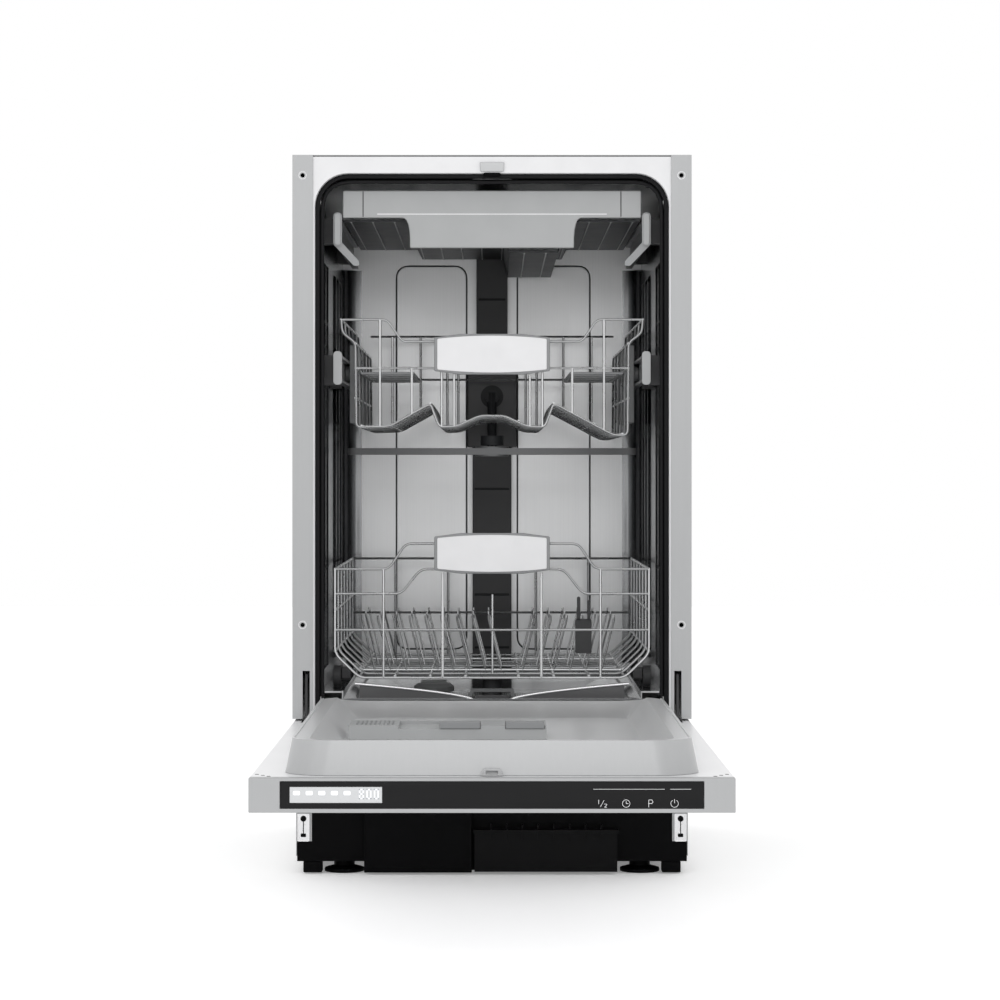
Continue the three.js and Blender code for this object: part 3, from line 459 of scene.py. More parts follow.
PANEL = CoatedSheet("panel_steel", (0.40, 0.405, 0.41))
DOOR_EDGE = CoatedSheet("door_edge_steel", (0.83, 0.83, 0.84), 0.3, 0.2)
FRAME_WHITE = Moulded("frame_white", (0.72, 0.72, 0.73), 0.35, 0.04, 0.3)
SEAL_BLACK = Moulded("seal_rubber", (0.010, 0.010, 0.011), 0.5, 0.3, 0.12)
# The tub's stainless is given in copies of different brightness: the back is the lightest, while the walls,
# floor, pressed lines and apron are darker copies that paint in shade and reflection.
TUB_BACK = Brushed("tub_back_steel", (0.76, 0.765, 0.77), 0.36, Grain.ALONG_Z)
SHADED_TUB_WALL = Brushed("shaded_tub_wall_steel", (0.30, 0.305, 0.31), 0.2, Grain.ALONG_Z, 0.06)
PRESSED_LINE_SHADE = Brushed("pressed_line_shade_steel", (0.15, 0.15, 0.153), 0.35, Grain.ALONG_Z, 0.05)
SHADED_TUB_FLOOR = Brushed("shaded_tub_floor_steel", (0.40, 0.405, 0.41), 0.12, Grain.ALONG_X, 0.04)
LINER = CoatedSheet("liner_steel", (0.74, 0.745, 0.75), 0.3, 0.5)
# A darker copy of the liner steel: painted shade on the liner's end faces that turn to the front.
LINER_END_SHADE = CoatedSheet("liner_end_shade_steel", (0.43, 0.435, 0.44), 0.36, 0.4)
APRON = Brushed("apron_steel", (0.11, 0.11, 0.112), 0.3, Grain.ALONG_X, 0.05)
BRIGHT = Brushed("bright_steel", (0.72, 0.72, 0.73), 0.2, Grain.ALONG_Z, 0.05)
BLACK = Moulded("black_plastic", (0.003, 0.003, 0.0033), 0.5, 0.12, 0.04)
DARK = Moulded("dark_plastic", (0.058, 0.058, 0.060), 0.42, 0.12, 0.25)
TRAY_DARK = Moulded("tray_plastic", (0.022, 0.023, 0.025), 0.45, 0.12, 0.2)
GREY = Moulded("grey_plastic", (0.24, 0.245, 0.25), 0.4)
LIGHT_GREY = Moulded("light_grey_plastic", (0.36, 0.367, 0.37), 0.38)
RAIL_GREY = Moulded("rail_grey", (0.28, 0.285, 0.29), 0.38)
ARM_GREY = Moulded("arm_plastic", (0.19, 0.193, 0.197), 0.4)
DUCT_GREY = Moulded("duct_grey", (0.095, 0.095, 0.098), 0.42, 0.12, 0.25)
KICK_BLACK = Moulded("kick_black", (0.004, 0.004, 0.0043), 0.45, 0.1, 0.08)
HANDLE_WHITE = Moulded("handle_white", (0.72, 0.72, 0.73), 0.3, 0.03, 0.3)
WIRE = CoatedWire("rack_wire", (0.60, 0.605, 0.61))
GLASS = BlackGlass("control_glass_black", (0.012, 0.012, 0.0125))
FILTER = Perforated("filter_mesh", (0.6, 0.61, 0.62))
MARKS = Printed("printed_marks", (0.85, 0.86, 0.87), 0.35)
LCD = Printed("display_face", (0.58, 0.59, 0.60), 0.04)
LCD_DIGIT = Printed("display_digit", (0.92, 0.93, 0.95), 0.1)
LIGHT_GREY_STEEL = CoatedSheet("latch_steel", (0.45, 0.455, 0.46), 0.35, 0.3)
_BUILT: dict[str, bpy.types.Material] = {}


def dress(obj: bpy.types.Object, finish: object) -> bpy.types.Object:
    """Gives a whole piece one finish.

    Args:
        obj: The piece.
        finish: The finish.

    Returns:
        The piece.
    """
    if finish.name not in _BUILT:
        _BUILT[finish.name] = finish.build()
    obj.data.materials.clear()
    obj.data.materials.append(_BUILT[finish.name])
    for face in obj.data.polygons:
        face.material_index = 0
    return obj


def dress_faces(obj: bpy.types.Object, finish: object, test: Test) -> bpy.types.Object:
    """Gives a piece's chosen faces a finish of their own.

    Args:
        obj: The piece, dressed already.
        finish: The finish for the chosen faces.
        test: Takes a face's middle and its normal, and says whether it is chosen.

    Returns:
        The piece.
    """
    if finish.name not in _BUILT:
        _BUILT[finish.name] = finish.build()
    obj.data.materials.append(_BUILT[finish.name])
    index = len(obj.data.materials) - 1
    for face in obj.data.polygons:
        if test(face.center, face.normal):
            face.material_index = index
    return obj


# --- Modelling bench ------------------------------------------------------------------------------------


def deselect() -> None:
    """Clears the selection."""
    bpy.ops.object.select_all(action="DESELECT")


def take(obj: bpy.types.Object) -> bpy.types.Object:
    """Makes a piece the only selected one.

    Args:
        obj: The piece.

    Returns:
        The piece.
    """
    deselect()
    obj.select_set(True)
    bpy.context.view_layer.objects.active = obj
    return obj


class Editing:
    """Edit mode on one piece, with the selection modes that its operators need."""

    def __init__(self, obj: bpy.types.Object, mode: str = "FACE") -> None:
        """Keeps the piece and the selection mode.

        Args:
            obj: The piece.
            mode: VERT, EDGE or FACE.
        """
        self.obj = obj
        self.mode = mode

    def __enter__(self) -> "Editing":
        """Opens edit mode with everything selected."""
        take(self.obj)
        bpy.ops.object.mode_set(mode="EDIT")
        bpy.ops.mesh.select_mode(type=self.mode)
        bpy.ops.mesh.select_all(action="SELECT")
        return self

    def __exit__(self, *_: object) -> None:
        """Closes edit mode."""
        bpy.ops.object.mode_set(mode="OBJECT")

    def faces(self, test: Test) -> None:
        """Selects the faces whose centre and normal pass a test.

        Args:
            test: Takes the centre and the normal.
        """
        mesh = bmesh.from_edit_mesh(self.obj.data)
        bpy.ops.mesh.select_all(action="DESELECT")
        for face in mesh.faces:
            face.select_set(bool(test(face.calc_center_median(), face.normal)))
        bmesh.update_edit_mesh(self.obj.data)

    def edges(self, test: Test) -> None:
        """Selects the edges whose middle and direction pass a test.

        Args:
            test: Takes the middle and the direction.
        """
        mesh = bmesh.from_edit_mesh(self.obj.data)
        bpy.ops.mesh.select_all(action="DESELECT")
        for edge in mesh.edges:
            first, second = (vertex.co for vertex in edge.verts)
            along = (second - first).normalized()
            edge.select_set(bool(test((first + second) / 2, along)))
        bmesh.update_edit_mesh(self.obj.data)

    def slice(self, place: Point, normal: Point) -> None:
        """Cuts every face along a plane.

        Args:
            place: A point on the plane.
            normal: The plane's normal.
        """
        bpy.ops.mesh.select_all(action="SELECT")
        bpy.ops.mesh.bisect(plane_co=place, plane_no=normal)

    @staticmethod
    def inset(thickness: float, depth: float = 0.0) -> None:
        """Insets the selected faces as one region."""
        bpy.ops.mesh.inset(thickness=thickness, depth=depth, use_boundary=True)

    @staticmethod
    def move(offset: Point) -> None:
        """Moves the selection."""
        bpy.ops.transform.translate(value=offset)

    @staticmethod
    def scale(factors: Point, centre: Point) -> None:
        """Scales the selection about a centre."""
        bpy.ops.transform.resize(value=factors, center_override=centre)

    @staticmethod
    def round(radius: float, segments: int, corners: bool = False) -> None:
        """Bevels the selected edges, or the selected corners.

        Args:
            radius: The bevel's offset.
            segments: Its segments.
            corners: True for vertices in the plane of a flat face.
        """
        bpy.ops.mesh.bevel(
            offset=radius, segments=segments, profile=0.5,
            affect="VERTICES" if corners else "EDGES", clamp_overlap=True)


def settle(obj: bpy.types.Object) -> bpy.types.Object:
    """Puts a piece's place into its mesh.

    Args:
        obj: The piece.

    Returns:
        The piece.
    """
    take(obj)
    bpy.ops.object.transform_apply(location=True, rotation=True, scale=True)
    return obj


def soften(obj: bpy.types.Object, width: float = 0.0008, segments: int = 2,
           angle: float = 35) -> bpy.types.Object:
    """Rounds a piece's sharp edges and shades it smoothly between them.

    Args:
        obj: The piece.
        width: The rounding's width.
        segments: Its segments.
        angle: Edges sharper than this, in degrees, are rounded.

    Returns:
        The piece.
    """
    take(obj)
    if width > 0:
        bevel = obj.modifiers.new("edge", "BEVEL")
        bevel.width = width
        bevel.segments = segments
        bevel.limit_method = "ANGLE"
        bevel.angle_limit = math.radians(angle)
        bevel.harden_normals = False
        bpy.ops.object.modifier_apply(modifier=bevel.name)
    bpy.ops.object.shade_smooth_by_angle(angle=math.radians(angle))
    even = obj.modifiers.new("even", "WEIGHTED_NORMAL")
    even.keep_sharp = True
    bpy.ops.object.modifier_apply(modifier=even.name)
    return obj


def smooth(obj: bpy.types.Object, angle: float = 40) -> bpy.types.Object:
    """Shades a piece smoothly without rounding it.

    Args:
        obj: The piece.
        angle: Edges sharper than this stay sharp.

    Returns:
        The piece.
    """
    return soften(obj, 0.0, 1, angle)


def block(name: str, lo: Sequence[float], hi: Sequence[float]) -> bpy.types.Object:
    """Starts a piece from a box.

    Args:
        name: The piece's name.
        lo: The lowest corner.
        hi: The highest corner.

    Returns:
        The piece, with its place in its mesh.
    """
    lo, hi = Vector(lo), Vector(hi)
    deselect()
    bpy.ops.mesh.primitive_cube_add(size=1, location=(lo + hi) / 2)
    obj = bpy.context.object
    obj.name = name
    obj.scale = hi - lo
    return settle(obj)


def slab(name: str, lo: Sequence[float], hi: Sequence[float], radius: float,
         axis: str = "z") -> bpy.types.Object:
    """Starts a piece from a plate with round corners, seen along an axis.

    Args:
        name: The piece's name.
        lo: The lowest corner.
        hi: The highest corner.
        radius: The corners' radius.
        axis: The axis that the corners run along.

    Returns:
        The piece.
    """
    obj = block(name, lo, hi)
    place = "xyz".index(axis)
    with Editing(obj, "EDGE") as edit:
        edit.edges(lambda _mid, along: abs(along[place]) > 0.9)
        edit.round(radius, 6)
    return obj


def drum(name: str, centre: Sequence[float], radius: float, length: float, axis: str = "z",
         sides: int = 32) -> bpy.types.Object:
    """Starts a piece from a cylinder.

    Args:
        name: The piece's name.
        centre: Its middle.
        radius: Its radius.
        length: Its length along the axis.
        axis: x, y or z.
        sides: The number of its sides.

    Returns:
        The piece.
    """
    turn = {"x": (0, math.pi / 2, 0), "y": (math.pi / 2, 0, 0), "z": (0, 0, 0)}[axis]
    deselect()
    bpy.ops.mesh.primitive_cylinder_add(
        vertices=sides, radius=radius, depth=length, location=centre, rotation=turn)
    obj = bpy.context.object
    obj.name = name
    return settle(obj)


def join(name: str, pieces: Sequence[bpy.types.Object]) -> bpy.types.Object:
    """Joins pieces into one.

    Args:
        name: The joined piece's name.
        pieces: The pieces, each with its finish.

    Returns:
        The joined piece.
    """
    deselect()
    for piece in pieces:
        piece.select_set(True)
    bpy.context.view_layer.objects.active = pieces[0]
    bpy.ops.object.join()
    pieces[0].name = name
    return pieces[0]


def refine(node: str, width: float = 0.0008, segments: int = 2) -> bpy.types.Object:
    """Copies a CAD node, merges its loose triangles and rounds its edges.

    Args:
        node: The node's name.
        width: The rounding's width.
        segments: Its segments.

    Returns:
        The finished copy, standing for the node.
    """
    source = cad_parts[node]
    mesh = source.data.copy()
    mesh.transform(source.matrix_world)
    obj = bpy.data.objects.new(f"{node}_finished", mesh)
    bpy.context.scene.collection.objects.link(obj)
    with Editing(obj, "VERT"):
        bpy.ops.mesh.remove_doubles(threshold=0.00001)
        bpy.ops.mesh.dissolve_limited(angle_limit=math.radians(1))
    soften(obj, width, segments)
    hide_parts(node)
    return obj


def fillet(points: Sequence[Sequence[float]], radius: float, steps: int = 5) -> list[Vector]:
    """Rounds the corners of a path.

    Args:
        points: The path's corners.
        radius: The bend's radius along each leg.
        steps: Points in each bend.

    Returns:
        The rounded path.
    """
    path = [Vector(point) for point in points]
    done = [path[0]]
    for before, here, after in zip(path, path[1:], path[2:]):
        back, ahead = before - here, after - here
        reach = min(radius, back.length * 0.45, ahead.length * 0.45)
        start, end = here + back.normalized() * reach, here + ahead.normalized() * reach
        for step in range(steps + 1):
            t = step / steps
            done.append(start * (1 - t) ** 2 + here * 2 * t * (1 - t) + end * t ** 2)
    done.append(path[-1])
    return done


def wires(name: str, paths: Sequence[Sequence[Sequence[float]]], radius: float, bend: float = 0.006,
          round_steps: int = 1) -> bpy.types.Object:
    """Bends round wires along paths and makes them one mesh.

    Args:
        name: The piece's name.
        paths: Corner points of each wire. A path whose ends meet is closed.
        radius: The wire's radius.
        bend: The bends' radius.
        round_steps: Fineness of the wire's section.

    Returns:
        The piece.
    """
    deselect()
    bpy.ops.curve.primitive_bezier_curve_add()
    obj = bpy.context.object
    obj.name = name
    curve = obj.data
    curve.splines.clear()
    curve.dimensions = "3D"
    curve.bevel_depth = radius
    curve.bevel_resolution = round_steps
    curve.use_fill_caps = True
    for corners in paths:
        path = fillet(corners, bend)
        spline = curve.splines.new("POLY")
        spline.points.add(len(path) - 1)
        for slot, place in zip(spline.points, path):
            slot.co = (*place, 1)
    settle(obj)
    bpy.ops.object.convert(target="MESH")
    return smooth(bpy.context.object, 60)


def place(obj: bpy.types.Object, body: str, slot: str, finish: object = None,
          replaces: Sequence[str] = ()) -> bpy.types.Object:
    """Hands a finished piece to its body.

    Args:
        obj: The piece.
        body: The CAD body that it rides on.
        slot: The record's material slot; not used.
        finish: A finish for the whole piece, if it hasn't one.
        replaces: CAD nodes that it stands for.

    Returns:
        The piece.
    """
    if finish is not None:
        dress(obj, finish)
    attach(obj, body)
    if replaces:
        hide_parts(*replaces)
    LOG.info("%s rides on %s", obj.name, body)
    return obj


# --- Sub-assemblies -------------------------------------------------------------------------------------

FLANGE_PLANE = 47.5
SIDES = (("left", -1), ("right", 1))


def at(x: float, y: float, z: float) -> Point:
    """A point given in millimetres, with y measured from the side flanges' front.

    Args:
        x: To the right.
        y: Into the machine.
        z: Up from the floor.

    Returns:
        The point in the model's frame, in metres.
    """
    return mm(x, y + FLANGE_PLANE, z)


@dataclass
class Studio:
    """A pale floor, soft light and the camera."""

    floor_size: float = 14.0
    lens: float = 109.1
    distance: float = 3.4
    eye_height: float = 0.458
    shift: tuple[float, float] = (0.008, -0.027)

    def build(self) -> None:
        """Sets up everything that isn't the machine."""
        self.floor()
        self.sky()
        self.panel("key_light", (-1.6, -2.6, 2.4), 1.6, 10)
        self.panel("inner_light", (0.0, -3.9, 1.6), 1.0, 8)
        self.camera()

    def floor(self) -> None:
        """Lays the floor as a thin slab whose top is at height 0."""
        half = self.floor_size / 2
        floor = block("studio_floor", (-half, -half, -0.02), (half, half, -0.0005))
        paint = Paint("floor_white")
        speck = paint.noise(3, 2)
        paint.set(Base_Color=paint.blend(speck, (0.92, 0.92, 0.92), (0.95, 0.95, 0.95)), Roughness=0.8,
                  Specular_IOR_Level=0.1, Emission_Color=(1.0, 1.0, 1.0), Emission_Strength=0.22)
        floor.data.materials.append(paint.material)

    @staticmethod
    def sky() -> None:
        """Makes the surroundings plain white."""
        scene = bpy.context.scene
        scene.view_settings.view_transform = "Standard"
        world = bpy.data.worlds.new("studio_sky")
        scene.world = world
        world.use_nodes = True
        sky = world.node_tree.nodes["Background"]
        sky.inputs["Color"].default_value = (1, 1, 1, 1)
        sky.inputs["Strength"].default_value = 1.0

    @staticmethod
    def panel(name: str, place: Point, size: float, power: float) -> None:
        """Hangs one soft square light that looks at the machine's middle.

        Args:
            name: The light's name.
            place: Its place.
            size: Its side.
            power: Its power in watts.
        """
        deselect()
        bpy.ops.object.light_add(type="AREA", location=place)
        light = bpy.context.object
        light.name = name
        light.data.shape = "SQUARE"
        light.data.size = size
        light.data.energy = power
        aim = Vector((0, 0.3, 0.4)) - Vector(place)
        light.rotation_euler = aim.to_track_quat("-Z", "Y").to_euler()

    def camera(self) -> None:
        """Sets the camera level, in front of the open door."""
        deselect()
        bpy.ops.object.camera_add(
            location=(0, FLANGE_PLANE * MM - self.distance, self.eye_height),
            rotation=(math.pi / 2, 0, 0))
        camera = bpy.context.object
        camera.data.lens = self.lens
        camera.data.shift_x, camera.data.shift_y = self.shift
        camera.data.clip_start = 0.01
        bpy.context.scene.camera = camera


@dataclass
class Cabinet:
    """The side panels, the frame round the tub's mouth, its seal and the latch."""

    edge: float = 0.0003
    seal_edge: float = 0.0022

    def build(self) -> None:
        """Dresses the shell."""
        for side, _sign in SIDES:
            place(refine(f"{side}_side_panel", self.edge), "cabinet", "painted_steel", PANEL)
        for node in ("top_cover", "rear_panel"):
            place(refine(node, self.edge), "cabinet", "painted_steel", PANEL)
        place(refine("front_frame", 0.001), "cabinet", "white_plastic", FRAME_WHITE)
        place(refine("door_seal", self.seal_edge, 3), "cabinet", "seal_rubber", SEAL_BLACK)
        place(refine("door_latch", 0.0008), "cabinet", "stainless", LIGHT_GREY_STEEL)
        self.latch_slot()
        for side, sign in SIDES:
            self.screws(side, sign)

    def latch_slot(self) -> None:
        """Adds the dark mouth under the latch's plate."""
        mouth = slab("latch_mouth", at(-9.5, 0.2, 790.5), at(9.5, 9, 795), 0.0016, "y")
        with Editing(mouth) as edit:
            edit.faces(lambda _mid, normal: normal.y < -0.9)
            edit.inset(0.0007)
            edit.move((0, 0.0015, 0))
        place(soften(mouth, 0.0003), "cabinet", "stainless", BLACK)

    def screws(self, side: str, sign: int) -> None:
        """Adds the pan-headed screws that hold the flange to its frame.

        Args:
            side: left or right.
            sign: -1 or 1.
        """
        heads = []
        for height in (700, 470, 350):
            head = drum(f"{side}_screw_{height}", at(sign * 205.5, 0.9, height), 0.0016, 0.0008, "y", 20)
            with Editing(head) as edit:
                edit.faces(lambda _mid, normal: normal.y < -0.9)
                edit.inset(0.0005)
                edit.move((0, 0.0003, 0))
            heads.append(head)
        place(smooth(join(f"{side}_flange_screws", heads)), "cabinet", "stainless", PANEL)
        rings = []
        for height in (792, 287.5):
            path = [at(sign * 212.5 + 4.2 * math.cos(turn), 0.25, height + 4.2 * math.sin(turn))
                    for turn in (math.tau * step / 24 for step in range(25))]
            rings.append(path)
        place(wires(f"{side}_hole_rings", rings, 0.0007, 0.0004), "cabinet", "stainless", FRAME_WHITE)


@dataclass
class Tub:
    """The stainless tub with its pressed ribs, dished floor and rear duct."""

    wall: float = 193.0
    rib_depth: float = 3.0
    rib_heights: tuple[float, float] = (232.0, 700.0)
    rib_places: tuple[float, ...] = (70.0, 128.0, 300.0, 372.0, 444.0)
    rim_low: float = 200.5
    rim_rise: float = 19.0
    rim_flat: float = 20.0
    rim_end: int = 155
    rim_curve: float = 0.62

    def build(self) -> None:
        """Dresses the tub and adds its pressings."""
        # The wrap takes the darker copy of the tub steel, as painted shade.
        place(refine("tub_wrap", 0), "cabinet", "stainless", SHADED_TUB_WALL)
        place(refine("tub_back", 0.0028, 4), "cabinet", "stainless", TUB_BACK)
        # The floor takes a darker copy of the tub steel: painted shade and painted reflection.
        place(refine("tub_floor", 0.004, 4), "cabinet", "stainless", SHADED_TUB_FLOOR)
        for side, sign in SIDES:
            place(refine(f"{side}_rack_track", 0.001), "cabinet", "rail_grey", DARK)
            rail = place(refine(f"{side}_tray_rail", 0.0008), "cabinet", "rail_grey", RAIL_GREY)
            dress_faces(rail, DARK, lambda mid, _normal: abs(mid.x) > 0.1785)
            self.wall_ribs(side, sign)
            self.rail_cap(side, sign)
        self.duct()
        self.mouth_lip()
        self.panel_lines()
        self.rear_coves()
        self.floor_lip()
        place(refine("fine_filter_plate", 0.0004), "cabinet", "stainless", FILTER)
        place(refine("filter_cup", 0.0006), "filter_cup", "grey_plastic", GREY)
        place(refine("salt_cap", 0.0008), "salt_cap", "grey_plastic", LIGHT_GREY)

    def wall_ribs(self, side: str, sign: int) -> None:
        """Presses upright beads into one side wall.

        Args:
            side: left or right.
            sign: -1 or 1.
        """
        low, high = self.rib_heights
        beads = []
        for depth in self.rib_places:
            inner, outer = sorted((sign * (self.wall - self.rib_depth), sign * (self.wall - 0.1)))
            bead = slab("bead", at(inner, depth - 9, low), at(outer, depth + 9, high), 0.008, "x")
            with Editing(bead) as edit:
                edit.faces(lambda _mid, normal: normal.x * sign < -0.9)
                edit.scale((1, 0.45, 0.985), at(sign * self.wall, depth, (low + high) / 2))
            beads.append(bead)
        walls = join(f"{side}_wall_beads", beads)
        place(soften(walls, 0.0008, 2, 25), "cabinet", "stainless", SHADED_TUB_WALL)

    @staticmethod
    def mouth_lip() -> None:
        """Lays the seal's soft inner lip round the tub's mouth."""
        path = [at(-191.6, 18.5, 206), at(-191.6, 18.5, 786.4), at(191.6, 18.5, 786.4), at(191.6, 18.5, 206)]
        place(wires("seal_lip", [path], 0.0024, 0.033, 3), "cabinet", "seal_rubber", SEAL_BLACK)

    @staticmethod
    def panel_lines() -> None:
        """Presses the rounded outlines round the two raised fields of the back wall, in a darker steel that
        paints the shade in the pressings.
        """
        loops = []
        for x0, x1 in ((-123, -33.5), (33.5, 126)):
            mid = (x0 + x1) / 2
            loops.append([at(mid, 523.6, 725), at(x1, 523.6, 725), at(x1, 523.6, 231), at(x0, 523.6, 231),
                          at(x0, 523.6, 725), at(mid, 523.6, 725)])
        place(wires("back_wall_lines", loops, 0.0017, 0.016, 2), "cabinet", "stainless", PRESSED_LINE_SHADE)

    @staticmethod
    def rear_coves() -> None:
        """Rounds the two upright rear corners of the tub."""
        coves = []
        for sign in (-1, 1):
            cove = drum("cove", at(sign * 168.5, 500, 470), 0.0243, 0.5, "z", 48)
            with Editing(cove) as edit:
                edit.faces(lambda _mid, normal: (
                    abs(normal.z) > 0.9 or normal.y < -0.01 or normal.x * sign < -0.01))
                bpy.ops.mesh.delete(type="FACE")
                bpy.ops.mesh.select_all(action="SELECT")
                bpy.ops.mesh.flip_normals()
            coves.append(cove)
        coves = join("rear_corner_coves", coves)
        take(coves)
        wall = coves.modifiers.new("wall", "SOLIDIFY")
        wall.thickness = 0.0006
        bpy.ops.object.modifier_apply(modifier=wall.name)
        place(smooth(coves, 40), "cabinet", "stainless", SHADED_TUB_WALL)

    def rim_height(self, x: float) -> float:
        """The height of the floor's rolled front edge, which dips to the middle.

        Args:
            x: Millimetres from the middle.

        Returns:
            The edge's height above the ground, in millimetres.
        """
        share = min(max((abs(x) - self.rim_flat) / (self.rim_end - self.rim_flat), 0), 1)
        return self.rim_low + self.rim_rise * share ** self.rim_curve

    def floor_lip(self) -> None:
        """Adds the rolled front edge of the tub's floor and the shaded wall under it."""
        edges = []
        for sign in (-1, 1):
            edges.append([
                at(sign * x, 30 + (self.rim_end - x) * 0.02, self.rim_height(x))
                for x in range(self.rim_end, 15, -5)])
        place(wires("tub_floor_rim", edges, 0.0017, 0.004, 2), "cabinet", "stainless", BRIGHT)
        apron = block("tub_floor_apron", at(-150, 32, 196), at(150, 33, 198))
        with Editing(apron) as edit:
            for x in range(-140, 150, 10):
                edit.slice(at(x, 0, 0), (1, 0, 0))
        for vertex in apron.data.vertices:
            if vertex.co.z > 0.197:
                vertex.co.z = max(self.rim_height(vertex.co.x / MM) - 0.8, 198) * MM
        place(smooth(apron, 20), "cabinet", "stainless", APRON)
        stop = slab("tub_floor_stop", at(-19, 28, 193), at(19, 33, 206.5), 0.002, "y")
        place(soften(stop, 0.0006), "cabinet", "dark_plastic", DARK)

    @staticmethod
    def rail_cap(side: str, sign: int) -> None:
        """Puts the round-ended stop on the front of a tray rail.

        Args:
            side: left or right.
            sign: -1 or 1.
        """
        inner, outer = sorted((sign * 171.5, sign * 178.5))
        cap = slab(f"{side}_tray_rail_cap", at(inner, 29.5, 716), at(outer, 33, 752), 0.003, "y")
        place(soften(cap, 0.001, 3), "cabinet", "rail_grey", LIGHT_GREY)

    def duct(self) -> None:
        """Dresses the rear duct and adds its port ring and ribs."""
        place(refine("rear_duct", 0.002, 3), "cabinet", "dark_plastic", DUCT_GREY)
        ring = drum("duct_port_ring", at(0, 491.2, 556), 0.0145, 0.0014, "y", 48)
        with Editing(ring) as edit:
            edit.faces(lambda _mid, normal: abs(normal.y) > 0.9)
            edit.inset(0.0025)
        place(smooth(ring, 30), "cabinet", "dark_plastic", TRAY_DARK)
        ribs = []
        for height in (232, 300, 368, 436, 624, 680, 736):
            half = 22.5 if height < 490 else 17.5
            front = 502.2 if height < 490 else 505.2
            rib = slab("rib", at(-half, front, height), at(half, front + 1, height + 3), 0.0012, "y")
            ribs.append(rib)
        place(soften(join("duct_ribs", ribs), 0.0004), "cabinet", "dark_plastic", TRAY_DARK)


@dataclass
class Base:
    """The plinth space: tray, kick plates, feet and the machinery in the base."""

    tab_x: float = 206.0

    def build(self) -> None:
        """Dresses the base."""
        place(refine("base_tray", 0.0012), "cabinet", "black_plastic", BLACK)
        place(refine("left_kick_plate", 0.001), "cabinet", "black_plastic", BLACK)
        place(refine("right_kick_plate", 0.0006), "cabinet", "black_plastic", KICK_BLACK)
        for node in ("sump", "circulation_pump", "drain_pump", "inlet_valve"):
            place(refine(node, 0.001), "cabinet", "dark_plastic", DARK)
        place(refine("water_softener", 0.001), "cabinet", "white_plastic", HANDLE_WHITE)
        for node in ("front_left_foot", "front_right_foot", "rear_foot"):
            place(refine(node, 0.0008), node, "black_plastic", BLACK)
        strip = block("kick_plate_backing", at(-25, 66.2, 4), at(-18, 67.6, 110))
        place(strip, "cabinet", "black_plastic", BLACK)
        for side, sign in SIDES:
            self.bracket(side, sign)
            inner, outer = sorted((sign * 194.5, sign * 216))
            heel = slab(f"{side}_base_heel", at(inner, 67, 1), at(outer, 90, 13.6), 0.002)
            place(soften(heel, 0.0008), "cabinet", "black_plastic", BLACK)

    def bracket(self, side: str, sign: int) -> None:
        """Screws the bright corner bracket to the base's front.

        Args:
            side: left or right.
            sign: -1 or 1.
        """
        inner, outer = sorted((sign * 208.5, sign * 222.5))
        plate = slab(f"{side}_base_bracket", at(inner, 62.5, 37), at(outer, 64.6, 69), 0.0015, "y")
        with Editing(plate) as edit:
            edit.faces(lambda _mid, normal: normal.y < -0.9)
            edit.inset(0.0016)
            edit.move((0, 0.0005, 0))
        head = drum("head", at(sign * 215.5, 61.9, 63), 0.0033, 0.0014, "y", 24)
        stem = slab("stem", at(sign * 215.5 - 0.5, 62.2, 44), at(sign * 215.5 + 0.5, 62.7, 61), 0.0002, "y")
        slot = slab("slot", at(sign * 215.5 - 3, 61.9, 42), at(sign * 215.5 + 3, 62.6, 46), 0.0008, "y")
        dress(plate, BRIGHT)
        for part in (head, stem, slot):
            dress(part, BLACK)
        place(soften(join(f"{side}_base_bracket", [plate, head, stem, slot]), 0.0003), "cabinet", "stainless")


